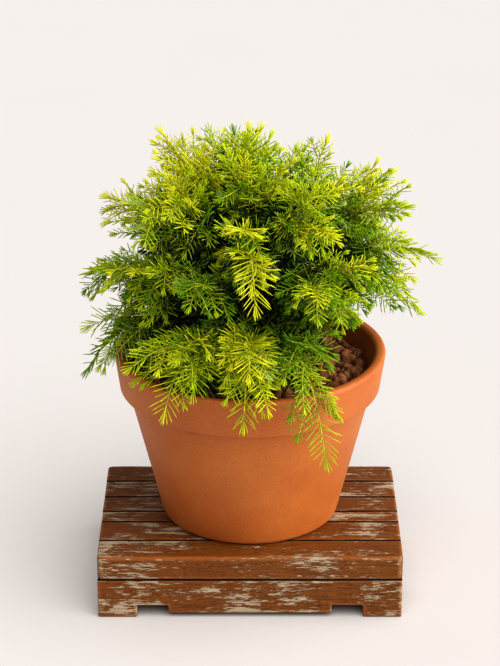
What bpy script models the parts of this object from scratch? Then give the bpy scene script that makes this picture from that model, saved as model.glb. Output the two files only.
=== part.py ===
"""A dwarf conifer in a terracotta pot, on a low slatted wooden stand.

Metres, +Z up. The stand's feet are at z = 0, and the origin is under the middle of the
whole object's box. The front faces -Y. Until the last step the pot's axis is the Z axis.
"""

import math
import random
from typing import NamedTuple

import bmesh
import bpy
import numpy as np
from mathutils import Matrix, Vector

GAP = 0.0003  # between pieces that touch
UP = Vector((0, 0, 1))
MERGE_DISTANCE = 1e-6
SHARP_ANGLE = math.radians(40)  # edges sharper than this are bevelled or shaded sharp
NEARLY_UPRIGHT = 0.05  # a direction's level part, below which it counts as upright

# Colour and roughness of each material
FINISHES = {
    "stand_wood": ((0.23, 0.085, 0.03), 0.5),
    "terracotta": ((0.53, 0.17, 0.06), 0.75),
    "clay_granules": ((0.16, 0.07, 0.04), 0.9),
    "bark": ((0.20, 0.11, 0.06), 0.85),
    "needles": ((0.23, 0.42, 0.02), 0.5),
}

# Wooden stand
STAND_WIDTH = 0.222
STAND_DEPTH = 0.150
STAND_HEIGHT = 0.0493
STAND_CENTRE_Y = -0.0086  # the pot stands a little behind the stand's middle
BOARD_THICKNESS = 0.0181
BOARD_WIDTHS = (0.0274, 0.0291, 0.0169, 0.0236, 0.0264, 0.0266)  # front to back
BOARD_GAP = 0.0009
EDGE_ROUNDING = 0.0012
APRON_THICKNESS = 0.014
FOOT_WIDTH = 0.0285
NOTCH_WIDTH = 0.0227
NOTCH_HEIGHT = 0.0097
BELLY_HEIGHT = 0.0034  # from the floor to the apron's lower edge between the notches
SIDE_FOOT_WIDTH = 0.012
SIDE_NOTCH_WIDTH = 0.018

# Terracotta pot
POT_HEIGHT = 0.1306
RIM_RADIUS = 0.100
RIM_THICKNESS = 0.0078
LIP_ROUNDING = 0.0035
LIP_STEPS = 4
BAND_HEIGHT = 0.0289
BAND_FOOT_RADIUS = 0.0958
BODY_TOP_RADIUS = 0.0902
BASE_RADIUS = 0.0649
BASE_ROUNDING = 0.0015
INNER_BASE_RADIUS = 0.0594
INNER_TOP_RADIUS = 0.0842  # inside the wall, level with the band's lower edge
FLOOR_THICKNESS = 0.009
DRAIN_RADIUS = 0.008
POT_SIDES = 36
POT_FOOT_Z = STAND_HEIGHT + GAP
RIM_Z = POT_FOOT_Z + POT_HEIGHT
BAND_Z = RIM_Z - BAND_HEIGHT

# Clay granules that fill the pot
SOIL_DEPTH_BELOW_RIM = 0.0145
SOIL_Z = RIM_Z - SOIL_DEPTH_BELOW_RIM
SOIL_MOUND = 0.002
MOUND_SHOULDER = (0.6, 0.7)  # shares of the filling's radius and of the mound's height
SOIL_SIDES = POT_SIDES // 2
TRUNK_PAD_RADIUS = 0.016
GRANULE_RADIUS = 0.0052
GRANULE_RINGS = ((0.0830, 17), (0.0680, 8))  # ring radius, granules on it
GRANULE_SIZES = (0.85, 1.1)
GRANULE_STRETCH = (0.85, 1.2)
GRANULE_FLATNESS = (0.75, 0.95)
GRANULE_PLAY = 0.2  # of the spacing round the ring
GRANULE_INWARD = 0.002
GRANULE_LIFT = 0.0018
GRANULE_REACH = 1.3  # of its radius, the room that a stretched granule needs
GRANULE_SEED = 5

# Trunk
TRUNK_FOOT_Z = SOIL_Z + SOIL_MOUND + GAP
TRUNK_TOP_Z = 0.286
TRUNK_RADIUS = 0.0078
TRUNK_TOP_RADIUS = 0.0026
FLARE_RADIUS = 0.0125
FLARE_HEIGHT = 0.016
TRUNK_SIDES = 10
FLARE_STEPS = 3
TRUNK_STEPS = 5
TRUNK_LEAN = Vector((-0.006, 0.004, 0))
LEAN_POWER = 1.5

# Boughs, and the stems that run on from them
BOUGH_RADIUS = 0.0031
BOUGH_TIP_RADIUS = 0.0018
BOUGH_SIDES = 5
STEM_RADIUS = 0.0016
STEM_TIP_RADIUS = 0.0009
STEM_SIDES = 3
LIMB_STEPS = 3
BOUGH_BEND = (0.35, 0.75)  # shares of the way out and up
STEM_BEND = 0.5  # share of the stem's length, in its bough's direction
TRUNK_STEM_BEND = (0.3, 0.6)

# Sprays: a slim three-sided rib, each side of it drawn out to a row of needles
SPRAY_LENGTH = 0.054
BARE_LENGTH = 0.006  # of a rib where it leaves its stem
NEEDLE_SPACING = 0.0130
NEEDLE_LENGTH = 0.0155
NEEDLE_ANGLE = math.radians(37)
END_NEEDLE = 0.010
RIB_RADIUS = 0.0011
RIB_TAPER = 0.45

# How the sprays of a mass are laid out
SIDE_SPRAYS = 8
GOLDEN_ANGLE = math.radians(137.5)
LEAD_SHARE = 0.93  # where the leading spray leaves the stem
SIDE_SHARES = (0.86, 0.20)  # where the side sprays leave it, from tip to foot
LEAD_SPREAD = math.radians(8)
SIDE_SPREAD = (math.radians(34), math.radians(68))
SIDE_DROOP = 0.7  # of the leading spray's
LENGTH_PLAY = (0.9, 1.05)
DROOP_PLAY = (0.8, 1.1)
TURN_PLAY = 0.7
ROLL_PLAY = 0.6
TRIES = 20
SHORTEST = 0.55  # of a spray's length, in the last try
NARROWEST = 0.25  # of its spread, in the last try
SPRAY_CLEARANCE = 0.0006
SPACE_CLEARANCE = 0.0004
LIMB_CLEARANCE = 0.0012
PROBE_SHARES = (0.25, 0.5, 0.75, 1)
TRUNK_PROBE_STEPS = 12
POT_CLEARANCE = 0.0012
CROWN_SEED = 1100


class Mass(NamedTuple):
    """One mass of foliage. Each pair is a distance from the pot's axis and a height."""

    name: str
    degrees: float  # where it grows to: 0 is +X, 270 the front
    root_z: float  # where its bough leaves the trunk, or 0 if its stem grows on the trunk
    begin: tuple  # where its stem begins
    reach: tuple  # where its stem ends
    lead: float  # the length of its leading spray
    droop: float  # how far its sprays bend down


class Spray(NamedTuple):
    root: Vector
    direction: Vector
    length: float
    droop: float
    roll: float


def ring(kind, root_heights, places, **common):
    """Masses round the trunk. Each place is its side, its degrees and what differs there."""
    masses = []
    for number, (side, degrees, differs) in enumerate(places):
        root_z = root_heights[number % len(root_heights)]
        masses.append(Mass(f"{kind}_{side}", degrees, root_z, **{**common, **differs}))
    return masses


LOW = ring(
    "low",
    (0.196, 0.202, 0.190),
    (
        ("left", 192, {}),
        ("front_left", 240, {"droop": 1.9}),
        ("front", 270, {"droop": 1.9}),
        ("front_right", 294, {"lead": 0.080, "droop": 2.0}),
        ("right", 330, {"reach": (0.066, 0.226), "lead": 0.044, "droop": 0.5}),
        ("back_right", 12, {"reach": (0.082, 0.220), "droop": 1.8}),
        ("back", 58, {}),
        ("back_left", 102, {}),
        ("far_left", 148, {}),
    ),
    begin=(0.030, 0.204),
    reach=(0.080, 0.206),
    lead=0.056,
    droop=1.5,
)
MIDDLE = ring(
    "mid",
    (0.227, 0.218),
    (
        ("left", 180, {"reach": (0.080, 0.234), "lead": 0.060, "droop": 1.4}),
        ("front_left", 212, {"reach": (0.072, 0.244), "droop": 1.3}),
        ("front", 246, {"reach": (0.062, 0.244), "droop": 1.2}),
        ("front_right", 308, {}),
        ("right", 350, {"reach": (0.086, 0.260), "droop": 1.6}),
        ("back_right", 38, {}),
        ("back", 84, {}),
        ("back_left", 130, {}),
    ),
    begin=(0.024, 0.236),
    reach=(0.073, 0.252),
    lead=0.055,
    droop=0.9,
)
SHOULDER = ring(
    "shoulder",
    (0,),
    (
        ("left", 172, {"begin": (0, 0.246), "reach": (0.064, 0.262), "droop": 1.2}),
        ("front_left", 212, {}),
        ("front", 270, {"begin": (0, 0.250), "lead": 0.062, "reach": (0.070, 0.280), "droop": 2.1}),
        ("front_right", 308, {}),
        ("right", 348, {"begin": (0, 0.246), "reach": (0.072, 0.290), "droop": 0.3}),
        ("back", 68, {"reach": (0.053, 0.274)}),
    ),
    begin=(0, 0.255),
    reach=(0.053, 0.289),
    lead=0.052,
    droop=0.6,
)
UPPER = ring(
    "upper",
    (0,),
    (
        ("left", 190, {"reach": (0.035, 0.299)}),
        ("front", 280, {"begin": (0, 0.268), "reach": (0.028, 0.302), "droop": 0.4}),
        ("right", 18, {"begin": (0, 0.262), "reach": (0.056, 0.290), "lead": 0.056}),
        ("back", 118, {"begin": (0, 0.275), "reach": (0.032, 0.298)}),
    ),
    begin=(0, 0.272),
    reach=(0.035, 0.304),
    lead=0.050,
    droop=0.2,
)
CROWN_TOP = Mass("crown_top", 150, 0, (0, TRUNK_TOP_Z), (0.006, 0.303), 0.046, 0.1)
MASSES = (*LOW, *MIDDLE, *SHOULDER, *UPPER, CROWN_TOP)


# Building blocks
def clear_scene():
    for obj in list(bpy.data.objects):
        bpy.data.objects.remove(obj)


def material(name):
    colour, roughness = FINISHES[name]
    made = bpy.data.materials.new(name)
    made.use_nodes = True
    shader = made.node_tree.nodes["Principled BSDF"]
    shader.inputs["Base Color"].default_value = (*colour, 1)
    shader.inputs["Roughness"].default_value = roughness
    shader.inputs["Metallic"].default_value = 0
    return made


def object_from(bm, name, finish):
    bmesh.ops.recalc_face_normals(bm, faces=bm.faces)
    mesh = bpy.data.meshes.new(name)
    bm.to_mesh(mesh)
    bm.free()
    mesh.materials.append(finish)
    obj = bpy.data.objects.new(name, mesh)
    bpy.context.scene.collection.objects.link(obj)
    return obj


def shade_round(obj):
    obj.data.shade_smooth()
    obj.data.set_sharp_from_angle(angle=SHARP_ANGLE)


def round_edges(obj):
    bevel = obj.modifiers.new("Rounding", "BEVEL")
    bevel.width = EDGE_ROUNDING
    bevel.segments = 1
    bevel.limit_method = "ANGLE"
    bevel.angle_limit = SHARP_ANGLE


def revolved(name, profile, sides, finish, closed):
    """A solid turned about the Z axis from (radius, height) points."""
    bm = bmesh.new()
    verts = [bm.verts.new((r, 0, z)) for r, z in profile]
    pairs = list(zip(verts, verts[1:]))
    if closed:
        pairs.append((verts[-1], verts[0]))
    edges = [bm.edges.new(pair) for pair in pairs]
    bmesh.ops.spin(
        bm,
        geom=verts + edges,
        cent=(0, 0, 0),
        axis=(0, 0, 1),
        angle=math.tau,
        steps=sides,
        use_merge=True,
    )
    bmesh.ops.remove_doubles(bm, verts=bm.verts, dist=MERGE_DISTANCE)
    obj = object_from(bm, name, finish)
    shade_round(obj)
    return obj


def limb(name, path, radii, sides, finish, first_normal=None):
    """A limb along the path, closed at both ends. first_normal turns its first face."""
    tangents = []
    for i in range(len(path)):
        before = path[max(i - 1, 0)]
        after = path[min(i + 1, len(path) - 1)]
        tangents.append((after - before).normalized())
    if first_normal is not None:
        tangents[0] = first_normal
    side = tangents[0].cross(UP)
    if side.length < NEARLY_UPRIGHT:
        side = Vector((1, 0, 0))
    bm = bmesh.new()
    rings = []
    for point, tangent, radius in zip(path, tangents, radii):
        side = (side - tangent * side.dot(tangent)).normalized()
        other = tangent.cross(side)
        rings.append([])
        for k in range(sides):
            a = math.tau * k / sides
            spoke = side * math.cos(a) + other * math.sin(a)
            rings[-1].append(bm.verts.new(point + spoke * radius))
    for low, high in zip(rings, rings[1:]):
        for k in range(sides):
            after = (k + 1) % sides
            bm.faces.new((low[k], low[after], high[after], high[k]))
    bm.faces.new(rings[0])
    bm.faces.new(rings[-1])
    return object_from(bm, name, finish)


def joined(base, parts):
    """base with the parts fused to it by one Boolean union, which is applied."""
    group = bpy.data.collections.new(base.name + "_parts")
    bpy.context.scene.collection.children.link(group)
    for part in parts:
        bpy.context.scene.collection.objects.unlink(part)
        group.objects.link(part)
    union = base.modifiers.new("Union", "BOOLEAN")
    union.operation = "UNION"
    union.operand_type = "COLLECTION"
    union.collection = group
    union.solver = "EXACT"
    bpy.context.view_layer.update()
    graph = bpy.context.evaluated_depsgraph_get()
    fused = bpy.data.meshes.new_from_object(base.evaluated_get(graph), depsgraph=graph)
    base.modifiers.clear()
    base.data = fused
    for part in parts:
        bpy.data.objects.remove(part)
    bpy.data.collections.remove(group)
    return base


def between(ends, share):
    return ends[0] + (ends[1] - ends[0]) * share


# Wooden stand
def top_boards(finish):
    front = STAND_CENTRE_Y - STAND_DEPTH / 2
    for number, width in enumerate(BOARD_WIDTHS, start=1):
        size = (STAND_WIDTH, width - BOARD_GAP, BOARD_THICKNESS)
        bm = bmesh.new()
        bmesh.ops.create_cube(bm, size=1, matrix=Matrix.Diagonal((*size, 1)))
        board = object_from(bm, f"stand_board_{number}", finish)
        board.location = (0, front + width / 2, STAND_HEIGHT - BOARD_THICKNESS / 2)
        round_edges(board)
        front += width


def apron_outline(length, foot, notch):
    """The apron's face as (along, up) points: two feet, two notches and a low belly."""
    half = length / 2
    top = STAND_HEIGHT - BOARD_THICKNESS - GAP
    inner = half - foot
    belly = inner - notch
    right = [
        (half, top),
        (half, 0),
        (inner, 0),
        (inner, NOTCH_HEIGHT),
        (belly, NOTCH_HEIGHT),
        (belly, BELLY_HEIGHT),
    ]
    return right + [(-x, z) for x, z in reversed(right)]


def apron(name, outline, turn, place, finish):
    bm = bmesh.new()
    face = bm.faces.new([bm.verts.new((x, -APRON_THICKNESS / 2, z)) for x, z in outline])
    made = bmesh.ops.extrude_face_region(bm, geom=[face], use_keep_orig=True)
    moved = [g for g in made["geom"] if isinstance(g, bmesh.types.BMVert)]
    bmesh.ops.translate(bm, verts=moved, vec=(0, APRON_THICKNESS, 0))
    board = object_from(bm, name, finish)
    board.rotation_euler.z = turn
    board.location = place
    round_edges(board)


def aprons(finish):
    depth = STAND_DEPTH - BOARD_GAP
    long_side = apron_outline(STAND_WIDTH, FOOT_WIDTH, NOTCH_WIDTH)
    short_length = depth - 2 * (APRON_THICKNESS + GAP)
    short_side = apron_outline(short_length, SIDE_FOOT_WIDTH, SIDE_NOTCH_WIDTH)
    for sign, front_or_back, left_or_right in ((-1, "front", "left"), (1, "back", "right")):
        place = (0, STAND_CENTRE_Y + sign * (depth - APRON_THICKNESS) / 2, 0)
        apron(f"stand_apron_{front_or_back}", long_side, 0, place, finish)
        place = (sign * (STAND_WIDTH - APRON_THICKNESS) / 2, STAND_CENTRE_Y, 0)
        apron(f"stand_apron_{left_or_right}", short_side, math.pi / 2, place, finish)


# Terracotta pot
def lip_points():
    """The rim's rounded top, from its outer side to its inner side."""
    middle = RIM_RADIUS - RIM_THICKNESS / 2
    points = []
    for k in range(LIP_STEPS + 1):
        a = math.pi * k / LIP_STEPS
        r = middle + RIM_THICKNESS / 2 * math.cos(a)
        points.append((r, RIM_Z - LIP_ROUNDING + LIP_ROUNDING * math.sin(a)))
    return points


def pot(finish):
    profile = [
        (DRAIN_RADIUS, POT_FOOT_Z),
        (BASE_RADIUS - BASE_ROUNDING, POT_FOOT_Z),
        (BASE_RADIUS, POT_FOOT_Z + BASE_ROUNDING),
        (BODY_TOP_RADIUS, BAND_Z),
        (BAND_FOOT_RADIUS - BASE_ROUNDING, BAND_Z),
        (BAND_FOOT_RADIUS, BAND_Z + BASE_ROUNDING),
        *lip_points(),
        (INNER_TOP_RADIUS, BAND_Z),
        (INNER_BASE_RADIUS, POT_FOOT_Z + FLOOR_THICKNESS),
        (DRAIN_RADIUS, POT_FOOT_Z + FLOOR_THICKNESS),
    ]
    revolved("pot", profile, POT_SIDES, finish, closed=True)


# Clay granules
def granule(number, place, radius, rng, finish):
    ranges = (GRANULE_STRETCH, GRANULE_STRETCH, GRANULE_FLATNESS)
    stretch = [rng.uniform(*limits) for limits in ranges]
    turn = Matrix.Rotation(rng.uniform(0, math.tau), 4, "Z")
    shape = Matrix.Translation(place) @ turn @ Matrix.Diagonal((*stretch, 1))
    bm = bmesh.new()
    bmesh.ops.create_icosphere(bm, subdivisions=1, radius=radius, matrix=shape)
    return object_from(bm, f"granule_{number}", finish)


def soil(finish):
    """The filling, as one body with its outer granules fused on and a flat pad for the trunk."""
    share = (SOIL_Z - BAND_Z) / (RIM_Z - LIP_ROUNDING - BAND_Z)
    edge = between((INNER_TOP_RADIUS, RIM_RADIUS - RIM_THICKNESS), share) - GAP
    profile = [
        (0, POT_FOOT_Z + FLOOR_THICKNESS + GAP),
        (INNER_BASE_RADIUS - GAP, POT_FOOT_Z + FLOOR_THICKNESS + GAP),
        (INNER_TOP_RADIUS - 2 * GAP, BAND_Z),
        (edge, SOIL_Z),
        (edge * MOUND_SHOULDER[0], SOIL_Z + SOIL_MOUND * MOUND_SHOULDER[1]),
        (TRUNK_PAD_RADIUS, SOIL_Z + SOIL_MOUND),
        (0, SOIL_Z + SOIL_MOUND),
    ]
    base = revolved("soil", profile, SOIL_SIDES, finish, closed=False)
    rng = random.Random(GRANULE_SEED)
    granules = []
    for ring_radius, count in GRANULE_RINGS:
        for k in range(count):
            angle = math.tau * (k + rng.uniform(-GRANULE_PLAY, GRANULE_PLAY)) / count
            radius = GRANULE_RADIUS * rng.uniform(*GRANULE_SIZES)
            distance = min(ring_radius, edge - GRANULE_REACH * radius)
            distance -= rng.uniform(0, GRANULE_INWARD)
            height = SOIL_Z + rng.uniform(0, GRANULE_LIFT)
            place = Vector((distance * math.cos(angle), distance * math.sin(angle), height))
            granules.append(granule(len(granules), place, radius, rng, finish))
    joined(base, granules)


# Trunk and boughs
def trunk_point(z):
    """The trunk's centre at this height: it leans a little as it rises."""
    share = (z - TRUNK_FOOT_Z) / (TRUNK_TOP_Z - TRUNK_FOOT_Z)
    return Vector((0, 0, z)) + TRUNK_LEAN * share**LEAN_POWER


def trunk_radius(z):
    share = (z - TRUNK_FOOT_Z) / (TRUNK_TOP_Z - TRUNK_FOOT_Z)
    flare = max(0.0, 1 - (z - TRUNK_FOOT_Z) / FLARE_HEIGHT) ** 2
    return between((TRUNK_RADIUS, TRUNK_TOP_RADIUS), share) + (FLARE_RADIUS - TRUNK_RADIUS) * flare


def trunk(finish):
    flare_top = TRUNK_FOOT_Z + FLARE_HEIGHT
    heights = [between((TRUNK_FOOT_Z, flare_top), k / FLARE_STEPS) for k in range(FLARE_STEPS)]
    steps = range(TRUNK_STEPS + 1)
    heights += [between((flare_top, TRUNK_TOP_Z), k / TRUNK_STEPS) for k in steps]
    path = [trunk_point(z) for z in heights]
    radii = [trunk_radius(z) for z in heights]
    obj = limb("trunk", path, radii, TRUNK_SIDES, finish, first_normal=UP)
    shade_round(obj)


def bezier(start, bend, end):
    shares = [k / LIMB_STEPS for k in range(LIMB_STEPS + 1)]
    return [start * (1 - t) ** 2 + bend * 2 * t * (1 - t) + end * t * t for t in shares]


def outward(mass):
    azimuth = math.radians(mass.degrees)
    return Vector((math.cos(azimuth), math.sin(azimuth), 0))


def trunk_skin(mass, z):
    return trunk_point(z) + outward(mass) * (trunk_radius(z) + GAP)


def bough_path(mass):
    """From the trunk's skin, rising, to the place where the mass begins."""
    radius, height = mass.begin
    start = trunk_skin(mass, mass.root_z)
    end = outward(mass) * radius + UP * height
    out, up = BOUGH_BEND
    bend = start + outward(mass) * radius * out + UP * (height - mass.root_z) * up
    return bezier(start, bend, end)


def bough(mass, finish):
    path = bough_path(mass)
    radii = [between((BOUGH_RADIUS, BOUGH_TIP_RADIUS), k / LIMB_STEPS) for k in range(len(path))]
    obj = limb(f"bough_{mass.name}", path, radii, BOUGH_SIDES, finish, outward(mass))
    shade_round(obj)


# Foliage
def stem_path(mass):
    """The stem of a mass: on from its bough's tip, out of the trunk's skin, or off its top."""
    end = outward(mass) * mass.reach[0] + UP * mass.reach[1]
    if mass.root_z:
        bough_points = bough_path(mass)
        onward = (bough_points[-1] - bough_points[-2]).normalized()
        start = bough_points[-1] + onward * GAP
        bend = start + onward * (end - start).length * STEM_BEND
    elif mass.begin[1] < TRUNK_TOP_Z:
        start = trunk_skin(mass, mass.begin[1])
        out, up = TRUNK_STEM_BEND
        bend = start + outward(mass) * mass.reach[0] * out + UP * (end - start).z * up
    else:
        start = trunk_point(TRUNK_TOP_Z) + UP * GAP
        bend = start + UP * (end - start).z * STEM_BEND
    return bezier(start, bend, end)


def along(path, share):
    """The point and the direction at this share of a path."""
    place = share * (len(path) - 1)
    i = min(int(place), len(path) - 2)
    return path[i].lerp(path[i + 1], place - i), (path[i + 1] - path[i]).normalized()


def spray_tries(mass, path, k, turn, rng):
    """Spray number k of a mass, the leading one first: each try is shorter and closer in."""
    share = LEAD_SHARE if k == 0 else between(SIDE_SHARES, (k - 1) / (SIDE_SPRAYS - 1))
    root, forward = along(path, share)
    side = forward.cross(UP).normalized()
    lift = side.cross(forward)
    tries = []
    for number in range(TRIES):
        late = number / (TRIES - 1)
        around = turn + rng.uniform(-TURN_PLAY, TURN_PLAY)
        spread = rng.uniform(0, LEAD_SPREAD) if k == 0 else rng.uniform(*SIDE_SPREAD)
        spread *= between((1, NARROWEST), late)
        across = side * math.cos(around) + lift * math.sin(around)
        direction = forward * math.cos(spread) + across * math.sin(spread)
        length = (mass.lead if k == 0 else SPRAY_LENGTH) * rng.uniform(*LENGTH_PLAY)
        length *= between((1, SHORTEST), late)
        droop = mass.droop * (1 if k == 0 else SIDE_DROOP) * rng.uniform(*DROOP_PLAY)
        tries.append(Spray(root, direction, length, droop, rng.uniform(-ROLL_PLAY, ROLL_PLAY)))
    return tries


def spray_points(spray):
    """The rings of a spray's rib, the needle tips after each ring but the first, and its end."""
    steps = 1 + max(2, round((spray.length - BARE_LENGTH) / NEEDLE_SPACING))
    needle_step = (spray.length - BARE_LENGTH) / (steps - 1)
    side = spray.direction.cross(UP)
    side = side.normalized() if side.length > NEARLY_UPRIGHT else Vector((1, 0, 0))
    heading = spray.direction
    point = spray.root
    rings = []
    tips = []
    for i in range(steps + 1):
        face = side.cross(heading)
        spokes = []
        for k in range(6):
            a = spray.roll + math.tau * k / 6
            spokes.append(side * math.cos(a) + face * math.sin(a))
        radius = RIB_RADIUS * (1 - RIB_TAPER * i / steps)
        rings.append([point + spoke * radius for spoke in spokes[::2]])
        if i == steps:
            break
        step = needle_step if i else BARE_LENGTH
        if i:
            middle = point + heading * step / 2
            ahead = heading * math.cos(NEEDLE_ANGLE)
            leans = [ahead + spoke * math.sin(NEEDLE_ANGLE) for spoke in spokes[1::2]]
            tips.append([middle + lean * NEEDLE_LENGTH for lean in leans])
        point = point + heading * step
        heading = (heading - UP * spray.droop / steps).normalized()
    return rings, tips, point + heading * END_NEEDLE


def spray_solid(name, spray, finish):
    rings, tips, end = spray_points(spray)
    bm = bmesh.new()
    rings = [[bm.verts.new(co) for co in ring] for ring in rings]
    for i, (low, high) in enumerate(zip(rings, rings[1:])):
        for k in range(3):
            after = (k + 1) % 3
            base = (low[k], low[after], high[after], high[k])
            if i == 0:
                bm.faces.new(base)
                continue
            tip = bm.verts.new(tips[i - 1][k])
            for a, b in zip(base, base[1:] + base[:1]):
                bm.faces.new((a, b, tip))
    apex = bm.verts.new(end)
    for k in range(3):
        bm.faces.new((rings[-1][k], rings[-1][(k + 1) % 3], apex))
    bm.faces.new(rings[0])
    return object_from(bm, name, finish)


def middle_of(points):
    return sum(points, Vector()) / len(points)


def spray_segments(spray):
    """A spray's rib and needles as (start, end, radius)."""
    rings, tips, end = spray_points(spray)
    centres = [middle_of(ring) for ring in rings[1:]]
    segments = [(a, b, RIB_RADIUS) for a, b in zip(centres, centres[1:] + [end])]
    for i, row in enumerate(tips):
        middle = centres[i].lerp(centres[i + 1], 0.5)
        segments += [(middle, tip, RIB_RADIUS) for tip in row]
    return segments


def probe_points(spray):
    """Points along the rib and the needles, for testing what a spray would touch."""
    probes = []
    for start, end, _ in spray_segments(spray):
        probes += [start.lerp(end, share) for share in PROBE_SHARES]
    return probes


def path_segments(path, radius):
    return [(a, b, radius) for a, b in zip(path, path[1:])]


def limb_segments():
    """Every stretch of the trunk and the boughs as (start, end, radius)."""
    steps = range(TRUNK_PROBE_STEPS + 1)
    heights = [between((TRUNK_FOOT_Z, TRUNK_TOP_Z), k / TRUNK_PROBE_STEPS) for k in steps]
    segments = []
    for low, high in zip(heights, heights[1:]):
        segments.append((trunk_point(low), trunk_point(high), trunk_radius(low)))
    for mass in MASSES:
        if mass.root_z:
            segments += path_segments(bough_path(mass), BOUGH_RADIUS)
    return segments


def distances(probes, segments):
    """How far each probe is from the nearest of the segments' surfaces."""
    points = np.array([tuple(p) for p in probes])[:, None, :]
    starts = np.array([tuple(a) for a, _, _ in segments])
    axes = np.array([tuple(b - a) for a, b, _ in segments])
    radii = np.array([r for _, _, r in segments])
    away = points - starts
    share = np.clip((away * axes).sum(2) / (axes**2).sum(1), 0, 1)
    return (np.linalg.norm(away - share[..., None] * axes, axis=2) - radii).min(1)


def clear_of_pot(probes):
    """True if no probe is in the granules, the band or the wall under it."""
    for p in probes:
        r = math.hypot(p.x, p.y)
        if r < RIM_RADIUS - RIM_THICKNESS - POT_CLEARANCE:
            if p.z < SOIL_Z + GRANULE_RADIUS + POT_CLEARANCE:
                return False
        elif r < RIM_RADIUS + POT_CLEARANCE and p.z < RIM_Z + POT_CLEARANCE:
            if p.z > BAND_Z - POT_CLEARANCE or r < BODY_TOP_RADIUS + POT_CLEARANCE:
                return False
    return True


def mass_sprays(mass, number, stems, limbs):
    """The sprays that fit: clear of pot, limbs and each other, and nearest to their own stem."""
    rng = random.Random(CROWN_SEED + number)
    own = path_segments(stems[mass.name], 0)
    others = []
    for name, path in stems.items():
        if name != mass.name:
            others += path_segments(path, 0)
    turn = rng.uniform(0, math.tau)
    sprays = []
    taken = []
    for k in range(SIDE_SPRAYS + 1):
        turn += GOLDEN_ANGLE
        for spray in spray_tries(mass, stems[mass.name], k, turn, rng):
            probes = probe_points(spray)
            if not clear_of_pot(probes) or distances(probes, limbs).min() < LIMB_CLEARANCE:
                continue
            if taken and distances(probes, taken).min() < SPRAY_CLEARANCE:
                continue
            if (distances(probes, own) + SPACE_CLEARANCE < distances(probes, others)).all():
                sprays.append(spray)
                taken += spray_segments(spray)
                break
    return sprays


def foliage(mass, number, stems, limbs, finish):
    path = stems[mass.name]
    radii = [between((STEM_RADIUS, STEM_TIP_RADIUS), k / LIMB_STEPS) for k in range(len(path))]
    on_trunk = not mass.root_z and mass.begin[1] < TRUNK_TOP_Z
    first_normal = outward(mass) if on_trunk else None
    stem = limb(f"foliage_{mass.name}", path, radii, STEM_SIDES, finish, first_normal)
    solids = []
    for spray in mass_sprays(mass, number, stems, limbs):
        solids.append(spray_solid(f"{stem.name}_{len(solids)}", spray, finish))
    joined(stem, solids)
    print(f"{stem.name}: {len(solids)} sprays")


def centre_on_origin(objects):
    """Moves the whole object so that the origin is under the middle of its box."""
    bpy.context.view_layer.update()
    graph = bpy.context.evaluated_depsgraph_get()
    corners = []
    for obj in objects:
        shown = obj.evaluated_get(graph)
        corners += [shown.matrix_world @ v.co for v in shown.to_mesh().vertices]
        shown.to_mesh_clear()
    for axis in (0, 1):
        places = [corner[axis] for corner in corners]
        middle = (min(places) + max(places)) / 2
        print(f"axis {axis} moved by {-middle:.5f}")
        for obj in objects:
            obj.location[axis] -= middle


def main():
    clear_scene()
    wood = material("stand_wood")
    bark = material("bark")
    needles = material("needles")
    top_boards(wood)
    aprons(wood)
    pot(material("terracotta"))
    soil(material("clay_granules"))
    trunk(bark)
    stems = {mass.name: stem_path(mass) for mass in MASSES}
    limbs = limb_segments()
    for number, mass in enumerate(MASSES):
        if mass.root_z:
            bough(mass, bark)
        foliage(mass, number, stems, limbs, needles)
    centre_on_origin(list(bpy.context.scene.collection.objects))


main()
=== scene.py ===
# %% [markdown]
# # A dwarf conifer in a terracotta pot
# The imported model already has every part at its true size: stand, pot, filling, trunk,
# boughs and masses of foliage. This script loads it and dresses it: worn wood, fired clay,
# loose granules, and a crown of real shoots and needles that grow by the same rule as the
# solid masses. Nothing is moved, so each new piece is made where its solid is.

# %% Load the frame
import math
import random
from typing import NamedTuple

import bmesh
import bpy
import numpy as np
from mathutils import Matrix, Vector, noise


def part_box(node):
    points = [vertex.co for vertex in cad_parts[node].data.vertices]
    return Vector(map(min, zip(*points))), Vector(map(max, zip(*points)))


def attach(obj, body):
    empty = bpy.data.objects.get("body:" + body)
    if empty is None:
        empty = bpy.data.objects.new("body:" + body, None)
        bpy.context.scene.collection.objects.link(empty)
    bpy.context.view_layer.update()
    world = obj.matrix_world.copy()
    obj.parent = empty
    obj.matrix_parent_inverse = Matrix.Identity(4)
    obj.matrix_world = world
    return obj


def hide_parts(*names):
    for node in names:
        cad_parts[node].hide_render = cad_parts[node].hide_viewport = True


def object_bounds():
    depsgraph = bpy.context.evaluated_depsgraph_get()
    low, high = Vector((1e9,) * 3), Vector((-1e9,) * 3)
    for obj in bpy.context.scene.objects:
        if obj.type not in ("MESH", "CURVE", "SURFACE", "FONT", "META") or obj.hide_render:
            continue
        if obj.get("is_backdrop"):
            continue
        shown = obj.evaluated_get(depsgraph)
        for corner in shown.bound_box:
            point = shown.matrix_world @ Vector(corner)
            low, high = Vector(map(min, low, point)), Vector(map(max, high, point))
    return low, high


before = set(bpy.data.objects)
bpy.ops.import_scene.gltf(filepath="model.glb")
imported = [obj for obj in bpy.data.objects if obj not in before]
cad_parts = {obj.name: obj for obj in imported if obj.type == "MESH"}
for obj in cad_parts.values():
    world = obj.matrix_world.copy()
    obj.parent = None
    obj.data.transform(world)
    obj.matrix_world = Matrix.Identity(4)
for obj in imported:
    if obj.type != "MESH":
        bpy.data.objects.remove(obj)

UP = Vector((0, 0, 1))
cad_low, cad_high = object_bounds()
pot_low, pot_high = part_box("pot")
PLACE = Vector(((pot_low.x + pot_high.x) / 2, (pot_low.y + pot_high.y) / 2, 0))
print(f"the pot's axis stands at {PLACE.x * 1000:.2f}, {PLACE.y * 1000:.2f} mm")

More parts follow.
